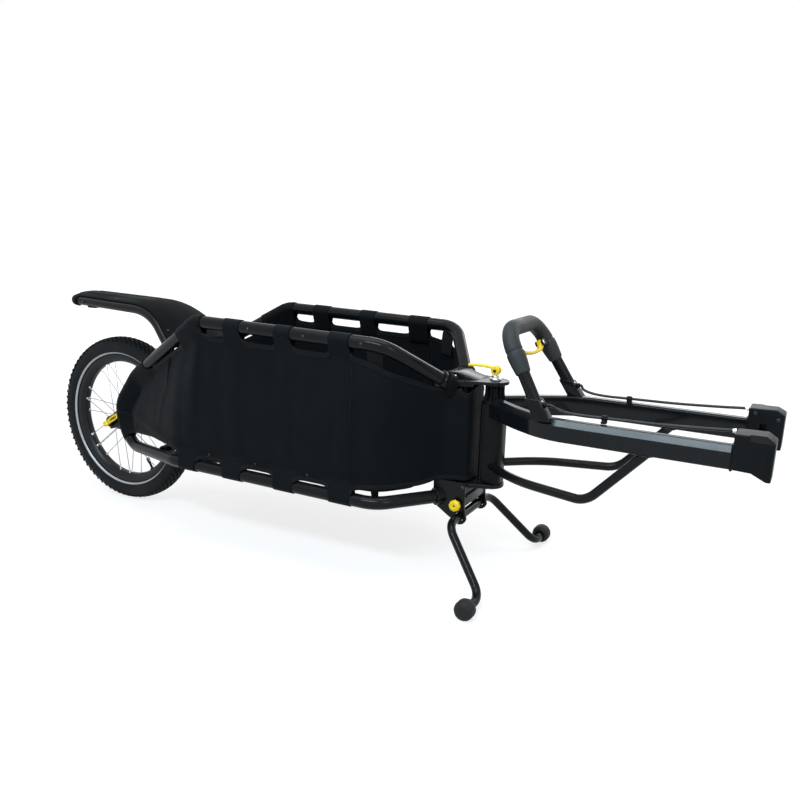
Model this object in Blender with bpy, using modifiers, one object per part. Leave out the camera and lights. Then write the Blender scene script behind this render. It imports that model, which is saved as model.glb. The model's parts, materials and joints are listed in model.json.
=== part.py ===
"""Single-wheel cargo trailer for a bicycle.

Chassis coordinates: metres from the wheel's axle, +X towards the bicycle, +Y to the left, +Z up.
The chassis empty tips the whole trailer nose-down by FRAME_PITCH about the axle, as it stands on its
two-legged stand, and the trailer empty centres it over the world's origin.
"""

import math

import bmesh
import bpy
import numpy as np
from mathutils import Matrix, Vector

# Fits
GAP = 0.0003
RUNNING = 0.0004
SIDES = {"right": -1, "left": 1}

# Stance
FRAME_PITCH = math.radians(1.74)

# Wheel: a 16 inch (305 mm) rim with a 47 mm tyre
BEAD_RADIUS = 0.1515
TYRE_WIDTH = 0.047
TYRE_RADIUS = BEAD_RADIUS + 0.0485
RIM_FLANGE_HEIGHT = 0.0065
RIM_WIDTH = 0.030
RIM_WALL = 0.0021
RIM_DEPTH = 0.012
TYRE_WALL = 0.0032
WHEEL_STEPS = 32
SPOKE_COUNT = 28
SPOKE_RADIUS = 0.001
SPOKE_CROSSES = 2
HUB_FLANGE_RADIUS = 0.0225
HUB_FLANGE_OFFSET = 0.029
HUB_FLANGE_THICKNESS = 0.0034
HUB_SHELL_RADIUS = 0.0135
HUB_BORE_RADIUS = 0.0085
BEARING_WIDTH = 0.008
AXLE_RADIUS = 0.0048
AXLE_BORE_RADIUS = 0.0029
SKEWER_RADIUS = 0.0024
DROPOUT_SPACING = 0.100
VALVE_RADIUS = 0.0030
VALVE_REACH = 0.027
VALVE_ANGLE = math.radians(-58)

# Steering head: the upright axis that the bag's frame ends at and the tow fork turns on
HEAD_X = 0.953
NOSE_X = HEAD_X - 0.072

# Side frames: one bent tube each, stations measured from the axle
FRAME_TUBE_RADIUS = 0.0127
FRAME_HALF_WIDTH = 0.155
REAR_HALF_WIDTH = 0.075
TOP_RAIL_HEIGHT = 0.285
BOTTOM_RAIL_HEIGHT = -0.017
TOP_RAIL_REAR = 0.370
TOP_RAIL_FRONT = NOSE_X - 0.081
BOTTOM_RAIL_REAR = 0.300
BOTTOM_RAIL_FRONT = NOSE_X - 0.091
REAR_CROWN = (0.115, 0.133)
REAR_HEEL = (0.058, 0.055)
REAR_FOOT = (0.085, -0.035)
NOSE_HALF_WIDTH = 0.035
UPPER_NOSE_HEIGHT = 0.198
TUBE_BEND = 0.055
FLOOR_TUBE_RADIUS = 0.0095
FLOOR_TUBE_STATIONS = (0.365, NOSE_X - 0.181)

# Rack over the wheel
HOOP_RADIUS = 0.0095
HOOP_HEIGHT = TYRE_RADIUS + 0.084
HOOP_HALF_WIDTH = 0.052
HOOP_BACK = 0.121
HOOP_SHOULDER = 0.150
HOOP_FOOT = (TYRE_RADIUS + 0.048, 0.0177, 0.0163)
HOOP_BEND = 0.150
DECK_WALL = 0.003
DECK_FRONT = HOOP_FOOT[0] - 0.006
DECK_CROWN = 0.006

# Swing arm and springs
PIVOT = (TYRE_RADIUS + 0.032, BOTTOM_RAIL_HEIGHT)
PIVOT_SHAFT_RADIUS = 0.008
PIVOT_BOSS_RADIUS = 0.0125
ARM_PLATE = 0.006
ARM_ELBOW = (0.102, 0.042)
ARM_EYE_RADIUS = 0.015
ARM_ELBOW_RADIUS = 0.019
ARM_TIP_RADIUS = 0.0155
SPRING_STATION = 0.118
SPRING_RADIUS = 0.0095
SPRING_WIRE = 0.0012
SPRING_LENGTH = 0.038
SPRING_TURNS = 5
SPRING_SEAT_HEIGHT = 0.068

# Steering post, collar and the brackets that hold them
POST_LENGTH = 0.046
POST_WIDTH = 0.040
POST_CORNER = 0.013
POST_BOTTOM = 0.0145
POST_TOP = 0.168
COLLAR_TOP = 0.2035
COLLAR_RIBS = 12
COLLAR_RADIUS = POST_WIDTH / 2 + 0.0025
HEAD_PIN_RADIUS = 0.006
TONGUE_RADIUS = 0.026
TONGUE_THICKNESS = 0.006
SOCKET_WALL = 0.0035
SOCKET_LENGTH = 0.028

# Tow fork
TOW_ARM_HALF_WIDTH = 0.100
TOW_ARM_HEIGHT = 0.038
TOW_ARM_WIDTH = 0.020
TOW_ARM_CORNER = 0.004
TOW_ARM_LEVEL = 0.1605
TOW_ARM_SHOULDER = HEAD_X + 0.132
TOW_ARM_END = TOW_ARM_SHOULDER + 0.306
STAY_RADIUS = 0.008
STAY_LEVEL = 0.049
STAY_HEEL = HEAD_X + 0.212
STAY_END = STAY_HEEL + 0.093

# Hitch blocks
BLOCK_BACK = TOW_ARM_END - 0.010
BLOCK_FRONT = BLOCK_BACK + 0.057
BLOCK_TOP = 0.204
BLOCK_WIDTH = 0.044
HITCH_SLOT_X = BLOCK_BACK + 0.025
HITCH_SLOT_WIDTH = 0.011
HITCH_SLOT_DEPTH = 0.027
HITCH_SLOT_TOP = 0.176
LATCH_LEVEL = 0.1555
LATCH_HEIGHT = 0.007
LATCH_WIDTH = 0.010
LATCH_LENGTH = 0.0245
LATCH_TRAVEL = 0.009

# Handle
HANDLE_FOOT_X = HEAD_X + 0.122
HANDLE_LEAN = math.radians(30.5)
HANDLE_HALF_WIDTH = 0.076
HANDLE_HEIGHT = 0.154
HANDLE_TUBE_RADIUS = 0.0108
HANDLE_BEND = 0.044
GRIP_RADIUS = 0.0146
GRIP_START = 0.074
TRIGGER_PIVOT = (0.046, 0.112)
TRIGGER_PIN_RADIUS = 0.0025
TRIGGER_THICKNESS = 0.008
CABLE_RADIUS = 0.0025
CLIP_X = HEAD_X + 0.227

# Stand
STAND_PIVOT = (HEAD_X - 0.039, BOTTOM_RAIL_HEIGHT - 0.033)
STAND_TUBE_RADIUS = 0.008
STAND_SHOULDER = 0.097
STAND_ANKLE = (HEAD_X + 0.0495, 0.145)
FOOT_X = HEAD_X + 0.045
FOOT_HALF_SPAN = 0.200
FOOT_RADIUS = 0.018
FOOT_LENGTH = 0.028
STAND_PLATE_OFFSET = 0.050
STAND_PLATE = 0.005
RELEASE_PLACE = (STAND_PIVOT[0] - 0.005, STAND_PIVOT[1] + 0.0245)

# Levers
LEVER_LENGTH = 0.050
LEVER_WIDTH = 0.012
LEVER_THICKNESS = 0.0045
LEVER_ANGLE = math.radians(33)
HEAD_LEVER_LENGTH = 0.056
HEAD_CAM_RADIUS = 0.0085
HEAD_EYE_WIDTH = 0.006

# Cargo bag
BAG_WALL = 0.0025
BAG_FLOOR = BOTTOM_RAIL_HEIGHT + FRAME_TUBE_RADIUS + 0.0043
BAG_REAR = TYRE_RADIUS + 0.062
BAG_NOSE = NOSE_X + 0.040
BAG_HEM = 0.030


def clear_scene():
    for thing in list(bpy.data.objects):
        bpy.data.objects.remove(thing)


def new_collection(name):
    made = bpy.data.collections.new(name)
    bpy.context.scene.collection.children.link(made)
    return made


def finish(name, colour, roughness, metallic=0.0):
    material = bpy.data.materials.new(name)
    material.use_nodes = True
    shader = material.node_tree.nodes["Principled BSDF"]
    shader.inputs["Base Color"].default_value = (*colour, 1.0)
    shader.inputs["Roughness"].default_value = roughness
    shader.inputs["Metallic"].default_value = metallic
    material.diffuse_color = (*colour, 1.0)
    return material


clear_scene()
PARTS = new_collection("single_wheel_cargo_trailer")
CUTTERS = new_collection("cutters")

PAINT = finish("black_powder_coat", (0.012, 0.013, 0.014), 0.38, 0.3)
PLASTIC = finish("black_moulded_plastic", (0.016, 0.017, 0.018), 0.5)
GLASS_FILLED = finish("dark_glass_filled_nylon", (0.010, 0.010, 0.011), 0.42)
RUBBER = finish("soft_black_rubber", (0.022, 0.023, 0.024), 0.7)
TYRE_RUBBER = finish("tyre_rubber", (0.017, 0.018, 0.019), 0.8)
YELLOW = finish("yellow_lever_nylon", (0.82, 0.60, 0.02), 0.4)
STEEL = finish("bright_steel", (0.60, 0.61, 0.62), 0.28, 1.0)
SPOKE_STEEL = finish("spoke_and_hub_metal", (0.30, 0.31, 0.32), 0.35, 1.0)
CABLE = finish("cable_housing", (0.012, 0.012, 0.013), 0.45)
CLOTH = finish("black_woven_cloth", (0.014, 0.015, 0.017), 0.85)


def add(piece, material):
    """Puts a finished object in the trailer's collection with its material."""
    PARTS.objects.link(piece)
    piece.data.materials.clear()
    piece.data.materials.append(material)
    return piece


def smooth(mesh, degrees=35):
    mesh.shade_smooth()
    mesh.set_sharp_from_angle(angle=math.radians(degrees))


def mesh_object(name, mesh):
    smooth(mesh)
    return bpy.data.objects.new(name, mesh)


def from_bmesh(name, work):
    mesh = bpy.data.meshes.new(name)
    work.to_mesh(mesh)
    work.free()
    return mesh_object(name, mesh)


def as_mesh(curve_object):
    """The evaluated curve as a mesh object with its caps welded; the curve is removed."""
    bpy.context.scene.collection.objects.link(curve_object)
    bpy.context.view_layer.update()
    graph = bpy.context.evaluated_depsgraph_get()
    mesh = bpy.data.meshes.new_from_object(curve_object.evaluated_get(graph))
    work = bmesh.new()
    work.from_mesh(mesh)
    bmesh.ops.remove_doubles(work, verts=work.verts, dist=1e-6)
    work.to_mesh(mesh)
    work.free()
    name = curve_object.name
    place = curve_object.matrix_world.copy()
    bpy.data.objects.remove(curve_object)
    made = mesh_object(name, mesh)
    made.matrix_world = place
    return made


def modifier(piece, kind, name, **settings):
    made = piece.modifiers.new(name, kind)
    for key, value in settings.items():
        setattr(made, key, value)
    return made


def as_helper(shape):
    """A cutter or a joined shape: drawn as wire and left out of the part."""
    if shape.name not in CUTTERS.objects:
        CUTTERS.objects.link(shape)
        shape.hide_render = True
        shape.display_type = "WIRE"
    return shape


def cut(piece, *shapes, solver="EXACT"):
    for shape in shapes:
        as_helper(shape)
        modifier(piece, "BOOLEAN", f"cut_{shape.name}", operation="DIFFERENCE", object=shape,
                 solver=solver)
    return piece


def join(piece, *shapes):
    for shape in shapes:
        as_helper(shape)
        modifier(piece, "BOOLEAN", f"join_{shape.name}", operation="UNION", object=shape)
    return piece


def rounded_path(corners, bends, arc_step=math.radians(16)):
    """A polyline through corners with each inner corner replaced by an arc of its bend radius."""
    corners = [Vector(corner) for corner in corners]
    path = [corners[0]]
    for before, corner, after, radius in zip(corners, corners[1:], corners[2:], bends):
        backward = (before - corner).normalized()
        forward = (after - corner).normalized()
        turn = math.pi - backward.angle(forward)
        reach = radius * math.tan(turn / 2)
        longest = 0.49 * min((before - corner).length, (after - corner).length)
        if reach > longest:
            radius *= longest / reach
            reach = longest
        middle = corner + (backward + forward).normalized() * (radius / math.cos(turn / 2))
        start = corner + backward * reach - middle
        across = (corner + forward * reach - middle)
        steps = max(2, round(turn / arc_step))
        for step in range(steps + 1):
            angle = turn * step / steps
            weight = math.sin(turn - angle), math.sin(angle)
            path.append(middle + (start * weight[0] + across * weight[1]) / math.sin(turn))
    path.append(corners[-1])
    return path


def curve_through(name, points, radii=None, closed=False):
    data = bpy.data.curves.new(name, "CURVE")
    data.dimensions = "3D"
    spline = data.splines.new("POLY")
    spline.points.add(len(points) - 1)
    for index, place in enumerate(points):
        spline.points[index].co = (*place, 1.0)
        if radii:
            spline.points[index].radius = radii[index]
    spline.use_cyclic_u = closed
    spline.use_smooth = True
    return data


def tube(name, points, radius, resolution=5, radii=None):
    data = curve_through(name, points, radii)
    data.bevel_depth = radius
    data.bevel_resolution = resolution
    data.use_fill_caps = True
    data.twist_mode = "MINIMUM"
    return bpy.data.objects.new(name, data)


def flat_outline(name, outline, thickness):
    """A flat plate in the local XY plane, centred on its thickness."""
    data = curve_through(name, [(x, y, 0.0) for x, y in outline], closed=True)
    data.dimensions = "2D"
    data.fill_mode = "BOTH"
    data.extrude = thickness / 2
    return bpy.data.objects.new(name, data)


def plate(name, outline, thickness, place=(0, 0, 0), upright=False, bevel=0.0):
    """A plate flat in XY, or upright in XZ with its thickness along Y."""
    made = flat_outline(name, outline, thickness)
    made = as_mesh(made)
    if upright:
        made.data.transform(Matrix.Rotation(math.pi / 2, 4, "X"))
    made.location = place
    if bevel:
        modifier(made, "BEVEL", "edges", width=bevel, segments=2, limit_method="ANGLE",
                 angle_limit=math.radians(40))
    return made


def arc(centre, radius, start, end, steps):
    """Points on an arc in degrees, ends included."""
    angles = np.radians(np.linspace(start, end, steps + 1))
    return [(centre[0] + radius * math.cos(a), centre[1] + radius * math.sin(a)) for a in angles]


def rounded_rectangle(length, width, corner, steps=3, centre=(0.0, 0.0)):
    outline = []
    for quarter, (sx, sy) in enumerate(((1, 1), (-1, 1), (-1, -1), (1, -1))):
        middle = (centre[0] + sx * (length / 2 - corner), centre[1] + sy * (width / 2 - corner))
        outline += arc(middle, corner, 90 * quarter, 90 * quarter + 90, steps)
    return outline


def elbow_outline(first, first_radius, elbow, elbow_radius, last, last_radius, steps=7):
    """The outline round three circles of a link that is bent upwards at its elbow."""
    first, elbow, last = Vector(first), Vector(elbow), Vector(last)
    rise, fall = elbow - first, last - elbow
    up = math.degrees(math.atan2(rise.y, rise.x))
    down = math.degrees(math.atan2(fall.y, fall.x))
    rear = math.degrees(math.acos((first_radius - elbow_radius) / rise.length))
    fore = math.degrees(math.acos((elbow_radius - last_radius) / fall.length))
    outline = arc(first, first_radius, up + rear, up + 360 - rear, steps)
    sides = []
    for centre, radius, angle in ((first, first_radius, up - rear), (last, last_radius, down - fore)):
        normal = Vector((math.cos(math.radians(angle)), math.sin(math.radians(angle))))
        sides.append((normal, normal.dot(centre) + radius))
    (a, p), (b, q) = sides
    turn = a.x * b.y - a.y * b.x
    outline.append(((p * b.y - q * a.y) / turn, (a.x * q - b.x * p) / turn))
    outline += arc(last, last_radius, down - fore, down + fore, steps)
    return outline + arc(elbow, elbow_radius, down + fore, up + rear, steps)


def turned(name, profile, steps=32, closed=False, axis="Y", place=(0, 0, 0)):
    """A turned shape: profile points are (radius, height), spun about its height axis."""
    ring = list(profile)
    area = sum(a[0] * b[1] - b[0] * a[1] for a, b in zip(ring, ring[1:] + ring[:1]))
    if area > 0:
        ring.reverse()
    mesh = bpy.data.meshes.new(name)
    edges = [(i, i + 1) for i in range(len(ring) - 1)]
    if closed:
        edges.append((len(ring) - 1, 0))
    mesh.from_pydata([(radius, 0.0, height) for radius, height in ring], edges, [])
    made = bpy.data.objects.new(name, mesh)
    modifier(made, "SCREW", "spin", steps=steps, render_steps=steps, use_merge_vertices=True,
             merge_threshold=1e-5, use_smooth_shade=True)
    made.location = place
    if axis == "Y":
        made.rotation_euler = (-math.pi / 2, 0, 0)
    elif axis == "X":
        made.rotation_euler = (0, math.pi / 2, 0)
    return made


def rod(name, start, end, radius, sides=16, end_radius=None):
    start, end = Vector(start), Vector(end)
    work = bmesh.new()
    bmesh.ops.create_cone(work, cap_ends=True, segments=sides, radius1=radius,
                          radius2=radius if end_radius is None else end_radius,
                          depth=(end - start).length)
    made = from_bmesh(name, work)
    made.location = (start + end) / 2
    made.rotation_mode = "QUATERNION"
    made.rotation_quaternion = Vector((0, 0, 1)).rotation_difference(end - start)
    return made


def box(name, size, place, bevel=0.0, rotation=(0, 0, 0), segments=2):
    work = bmesh.new()
    bmesh.ops.create_cube(work, size=1.0)
    bmesh.ops.scale(work, vec=size, verts=work.verts)
    made = from_bmesh(name, work)
    made.location = place
    made.rotation_euler = rotation
    if bevel:
        modifier(made, "BEVEL", "edges", width=bevel, segments=segments)
    return made


# Empties: each one stands on a joint's axis, in chassis coordinates
PLACE = {}


def pivot(name, place, parent):
    empty = bpy.data.objects.new(name, None)
    empty.empty_display_size = 0.03
    PARTS.objects.link(empty)
    PLACE[empty] = Vector(place)
    empty.parent = parent
    empty.location = Vector(place) - PLACE[parent]
    return empty


def hang(piece, empty):
    """Hangs a piece that was placed in chassis coordinates on an empty."""
    piece.parent = empty
    piece.location = piece.location - PLACE[empty]
    return piece


def on_ground(x, world_height):
    """The chassis height of a point that stands world_height above the ground at station x."""
    rise = world_height - TYRE_RADIUS + x * math.sin(FRAME_PITCH)
    return rise / math.cos(FRAME_PITCH)


TRAILER = bpy.data.objects.new("trailer", None)
PARTS.objects.link(TRAILER)
front = BLOCK_FRONT * math.cos(FRAME_PITCH) + BLOCK_TOP * math.sin(FRAME_PITCH)
TRAILER.location = ((TYRE_RADIUS - front) / 2, 0, 0)
CHASSIS = bpy.data.objects.new("chassis", None)
PARTS.objects.link(CHASSIS)
CHASSIS.parent = TRAILER
CHASSIS.location = (0, 0, TYRE_RADIUS)
CHASSIS.rotation_euler = (0, FRAME_PITCH, 0)
PLACE[CHASSIS] = Vector((0, 0, 0))

SWING = pivot("suspension_axis", (PIVOT[0], 0, PIVOT[1]), CHASSIS)
WHEEL = pivot("wheel_axis", (0, 0, 0), SWING)
STEER = pivot("steering_axis", (HEAD_X, 0, POST_TOP), CHASSIS)
STAND = pivot("stand_axis", (STAND_PIVOT[0], 0, STAND_PIVOT[1]), CHASSIS)


def loop_corners(side):
    """Corners of a side frame, from its upper nose round the rear to its lower nose."""
    return [
        (NOSE_X, side * NOSE_HALF_WIDTH, UPPER_NOSE_HEIGHT),
        (TOP_RAIL_FRONT, side * FRAME_HALF_WIDTH, TOP_RAIL_HEIGHT - 0.006),
        (TOP_RAIL_REAR, side * FRAME_HALF_WIDTH, TOP_RAIL_HEIGHT),
        (REAR_CROWN[0], side * REAR_HALF_WIDTH, REAR_CROWN[1]),
        (REAR_HEEL[0], side * REAR_HALF_WIDTH, REAR_HEEL[1]),
        (REAR_FOOT[0], side * REAR_HALF_WIDTH, REAR_FOOT[1]),
        (BOTTOM_RAIL_REAR, side * FRAME_HALF_WIDTH, BOTTOM_RAIL_HEIGHT),
        (BOTTOM_RAIL_FRONT, side * FRAME_HALF_WIDTH, BOTTOM_RAIL_HEIGHT),
        (NOSE_X, side * NOSE_HALF_WIDTH, BOTTOM_RAIL_HEIGHT),
    ]


def loop_path(side):
    bends = [TUBE_BEND, TUBE_BEND, 0.060, 0.060, 0.060, TUBE_BEND, TUBE_BEND]
    return rounded_path(loop_corners(side), bends)


def frame_clearance(side, radius):
    """A side frame's own tube a little larger and longer, to cope what is welded to it."""
    path = loop_path(side)
    path[0] += (path[0] - path[1]).normalized() * GAP
    path[-1] += (path[-1] - path[-2]).normalized() * GAP
    return as_mesh(tube("frame_clearance", path, radius, 4))


COPES = {side: frame_clearance(side, FRAME_TUBE_RADIUS + GAP) for side in SIDES.values()}


def side_frames():
    for name, side in SIDES.items():
        hang(add(tube(f"side_frame_{name}", loop_path(side), FRAME_TUBE_RADIUS, 4), PAINT), CHASSIS)


def floor_tubes():
    """Cross tubes between the bottom rails, coped to them."""
    for name, station in zip(("rear", "front"), FLOOR_TUBE_STATIONS):
        ends = [(station, side * FRAME_HALF_WIDTH, BOTTOM_RAIL_HEIGHT) for side in (-1, 1)]
        bar = rod(f"floor_cross_tube_{name}", *ends, FLOOR_TUBE_RADIUS)
        hang(add(cut(bar, COPES[-1], COPES[1]), PAINT), CHASSIS)


def tongue_outline(half_width, back):
    """A plate that widens from a round eye on the steering axis to the tube ends."""
    eye = arc((HEAD_X, 0), TONGUE_RADIUS, -75, 75, 10)
    return eye + [(NOSE_X + 0.006, half_width), (back, half_width),
                  (back, -half_width), (NOSE_X + 0.006, -half_width)]


def sockets(name, corners):
    """Short sleeves round the ends of both side frames, where they enter a head bracket."""
    made = []
    for side in SIDES.values():
        end, inner = Vector(corners(side)[0]), Vector(corners(side)[1])
        along = (inner - end).normalized()
        made.append(rod(f"{name}_socket", end - along * 0.004, end + along * SOCKET_LENGTH,
                        FRAME_TUBE_RADIUS + SOCKET_WALL))
    return made


def upper_head_bracket():
    """Upper tongue with a sleeve for each side frame and a web between the sleeves."""
    level = COLLAR_TOP + GAP + TONGUE_THICKNESS / 2
    body = plate("upper_head_bracket", tongue_outline(0.046, NOSE_X - 0.016), TONGUE_THICKNESS,
                 (0, 0, level))
    web = box("upper_web", (0.006, 2 * NOSE_HALF_WIDTH, 0.024), (NOSE_X - 0.003, 0, level - 0.010))
    join(body, web, *sockets("upper", loop_corners))
    eye = head_pin_bore("upper_eye", level - 0.02, level + 0.02)
    hang(add(cut(body, COPES[-1], COPES[1], eye), PAINT), CHASSIS)


def lower_head_bracket():
    """Lower tongue, tube sockets and the two side plates that carry the stand."""
    level = POST_BOTTOM - RUNNING - 0.004
    outside = STAND_PLATE_OFFSET + STAND_PLATE / 2
    x, z = STAND_PIVOT
    body = plate("lower_head_bracket", tongue_outline(outside - 0.0005, NOSE_X - 0.016), 0.008,
                 (0, 0, level))
    top = BAG_FLOOR + 0.0175 - z
    edge = x + 0.0105
    outline = [(NOSE_X - 0.022, top), (NOSE_X - 0.022, BOTTOM_RAIL_HEIGHT - z - 0.014), (x - 0.019, -0.004)]
    outline += arc((x, 0), 0.015, 200, 350, 7) + [(edge, 0.020), (edge, top)]
    for side in SIDES.values():
        join(body, plate("stand_ear", outline, STAND_PLATE, (0, side * STAND_PLATE_OFFSET, z),
                         upright=True))
    tall = level - BOTTOM_RAIL_HEIGHT + 0.006
    join(body, box("stand_web", (0.005, 2 * STAND_PLATE_OFFSET, tall + 0.006),
                   (edge - 0.0035, 0, level - tall / 2 - 0.003)),
         box("stand_ridge", (0.005, 2 * STAND_PLATE_OFFSET, 0.006),
             (edge - 0.0005, 0, level - tall / 2 - 0.002)),
         box("socket_web", (0.010, 2 * STAND_PLATE_OFFSET, tall + 0.004),
             (NOSE_X - 0.001, 0, level - tall / 2 - 0.001)))
    join(body, *sockets("lower", lambda side: loop_corners(side)[::-1]))
    eye = head_pin_bore("lower_eye", level - 0.02, level + 0.02)
    bore = rod("stand_bore", (x, -0.08, z), (x, 0.08, z), STAND_TUBE_RADIUS + RUNNING)
    release = rod("release_bore", (RELEASE_PLACE[0], -0.08, RELEASE_PLACE[1]),
                  (RELEASE_PLACE[0], -0.04, RELEASE_PLACE[1]), 0.005 + RUNNING)
    hang(add(cut(body, COPES[-1], COPES[1], eye, bore, release), PAINT), CHASSIS)


def hoop_path():
    """Right-hand foot on the slope tube, over the wheel and back to the left-hand foot."""
    slope_low, slope_high = Vector(loop_corners(1)[3]), Vector(loop_corners(1)[2])
    station, inward, under = HOOP_FOOT
    slope = slope_low.lerp(slope_high, (station - slope_low.x) / (slope_high.x - slope_low.x))
    half = [(station, slope.y - inward, slope.z - under),
            (HOOP_SHOULDER, HOOP_HALF_WIDTH + 0.008, HOOP_HEIGHT - 0.006),
            (-HOOP_BACK, HOOP_HALF_WIDTH - 0.007, HOOP_HEIGHT)]
    corners = [(x, -y, z) for x, y, z in half] + half[::-1]
    return rounded_path(corners, [HOOP_BEND, 0.034, 0.034, HOOP_BEND])


def rack_hoop():
    hoop = as_mesh(tube("rack_hoop", hoop_path(), HOOP_RADIUS, 3))
    hang(add(cut(hoop, COPES[-1], COPES[1]), PAINT), CHASSIS)


def deck_station(x):
    """The hoop's (half spread, centre height) at station x, and the way up off its legs there."""
    hoop = sorted((point for point in hoop_path() if point.y > 0), key=lambda point: point.x)
    run = [point.x for point in hoop]
    rise = np.interp((x - 0.004, x, x + 0.004), run, [point.z for point in hoop])
    spread = float(np.interp(x, run, [point.y for point in hoop]))
    return spread, float(rise[1]), Vector((rise[0] - rise[2], 0, 0.008)).normalized()


def rack_deck():
    """Moulded fender deck: one crowned sheet that lies along the hoop from its tail to its feet."""
    work = bmesh.new()
    rows = []
    tail = [0.006 - HOOP_BACK, 0.016 - HOOP_BACK, 0.030 - HOOP_BACK, -0.04, 0.03]
    for x in tail + list(np.linspace(0.10, DECK_FRONT, 8)):
        spread, level, up = deck_station(float(x))
        edge = HOOP_RADIUS + 2 * GAP + DECK_WALL / 2
        row = []
        for across in (-1.0, -0.88, -0.6, 0.0, 0.6, 0.88, 1.0):
            height = edge + DECK_CROWN * (1 - abs(across) ** 2.5)
            row.append(work.verts.new(Vector((x, spread * across, level)) + up * height))
        rows.append(row)
    for first, second in zip(rows, rows[1:]):
        for index in range(len(first) - 1):
            work.faces.new((first[index], second[index], second[index + 1], first[index + 1]))
    bmesh.ops.recalc_face_normals(work, faces=work.faces)
    deck = from_bmesh("rack_deck", work)
    modifier(deck, "SOLIDIFY", "wall", thickness=DECK_WALL, offset=0.0)
    hoop = as_mesh(tube("hoop_clearance", hoop_path(), HOOP_RADIUS + GAP, 3))
    hang(add(cut(deck, hoop, COPES[-1], COPES[1], solver="MANIFOLD"), PLASTIC), CHASSIS)


def tyre_profile():
    half = TYRE_WIDTH / 2
    bead = RIM_WIDTH / 2 - RIM_WALL - GAP
    floor = BEAD_RADIUS + GAP
    lip = BEAD_RADIUS + RIM_FLANGE_HEIGHT + GAP
    rise = TYRE_RADIUS - lip
    outer = [(floor, bead), (lip + 0.0004, bead), (lip + 0.02 * rise, RIM_WIDTH / 2 + 0.0006),
             (lip + 0.22 * rise, 0.90 * half), (lip + 0.48 * rise, half),
             (lip + 0.78 * rise, 0.82 * half), (lip + 0.955 * rise, 0.42 * half), (TYRE_RADIUS, 0.0)]
    inner = [(TYRE_RADIUS - 1.3 * TYRE_WALL, 0.0), (lip + 0.78 * rise, 0.52 * half),
             (lip + 0.48 * rise, half - 1.2 * TYRE_WALL), (lip + 0.20 * rise, 0.86 * half - TYRE_WALL),
             (floor, bead - TYRE_WALL)]
    mirrored = [(radius, -width) for radius, width in outer[:-1]]
    return outer + mirrored[::-1] + [(r, -w) for r, w in inner[:0:-1]] + inner


def tyre():
    made = turned("tyre", tyre_profile(), WHEEL_STEPS, closed=True)
    hang(add(made, TYRE_RUBBER), WHEEL)


def inner_tube():
    middle = BEAD_RADIUS + RIM_FLANGE_HEIGHT + 0.44 * (TYRE_RADIUS - BEAD_RADIUS - RIM_FLANGE_HEIGHT)
    thick = TYRE_WIDTH / 2 - 2.4 * TYRE_WALL
    profile = arc((middle, 0), thick, 0, 315, 7)
    hang(add(turned("inner_tube", profile, 24, closed=True), RUBBER), WHEEL)


def rim_profile():
    half = RIM_WIDTH / 2
    flange = BEAD_RADIUS + RIM_FLANGE_HEIGHT
    upper = [(flange, half), (flange, half - RIM_WALL), (BEAD_RADIUS, half - RIM_WALL),
             (BEAD_RADIUS - 0.002, 0.4 * half)]
    lower = [(BEAD_RADIUS - RIM_DEPTH, -0.45 * half), (BEAD_RADIUS - RIM_DEPTH, 0.45 * half),
             (BEAD_RADIUS - 0.0035, half)]
    return upper + [(r, -w) for r, w in upper[::-1]] + [(BEAD_RADIUS - 0.0035, -half)] + lower


def valve_line():
    return Vector((math.cos(VALVE_ANGLE), 0, math.sin(VALVE_ANGLE)))


def rim():
    made = turned("rim", rim_profile(), WHEEL_STEPS, closed=True)
    along = valve_line()
    bore = rod("valve_bore", along * (BEAD_RADIUS - 0.03), along * (BEAD_RADIUS + 0.01),
               VALVE_RADIUS + GAP, 12)
    hang(add(cut(made, bore), PAINT), WHEEL)


def valve():
    """A thin valve that stands through the rim towards the hub, with its cap."""
    along = valve_line()
    inside = BEAD_RADIUS - RIM_DEPTH
    stem = rod("valve_stem", along * (BEAD_RADIUS + 0.002), along * (inside - VALVE_REACH),
               VALVE_RADIUS, 12)
    cap = rod("valve_cap", along * (inside - VALVE_REACH + 0.009), along * (inside - VALVE_REACH - 0.003),
              VALVE_RADIUS + 0.0011, 12)
    hang(add(join(stem, cap), PLASTIC), WHEEL)


def spoke_ends(index):
    """Flange hole and rim seat of one spoke, laced tangent to its flange."""
    pair, lean = divmod(index // 2, 2)
    side = -1 if index % 2 else 1
    holes = SPOKE_COUNT // 2
    step = 2 * math.pi / holes
    hole = step * (2 * pair + lean) + (0.25 * step if side > 0 else -0.25 * step)
    swing = (SPOKE_CROSSES + 0.5) * step * (1 if lean else -1)
    head = side * (HUB_FLANGE_OFFSET + (0.0012 if lean else -0.0012))
    seat = (BEAD_RADIUS - RIM_DEPTH) * math.cos(math.pi / WHEEL_STEPS) - SPOKE_RADIUS
    reach = HUB_FLANGE_RADIUS - 0.003
    return (Vector((reach * math.cos(hole), head, reach * math.sin(hole))),
            Vector((seat * math.cos(hole + swing / 2), side * 0.0035, seat * math.sin(hole + swing / 2))))


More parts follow.
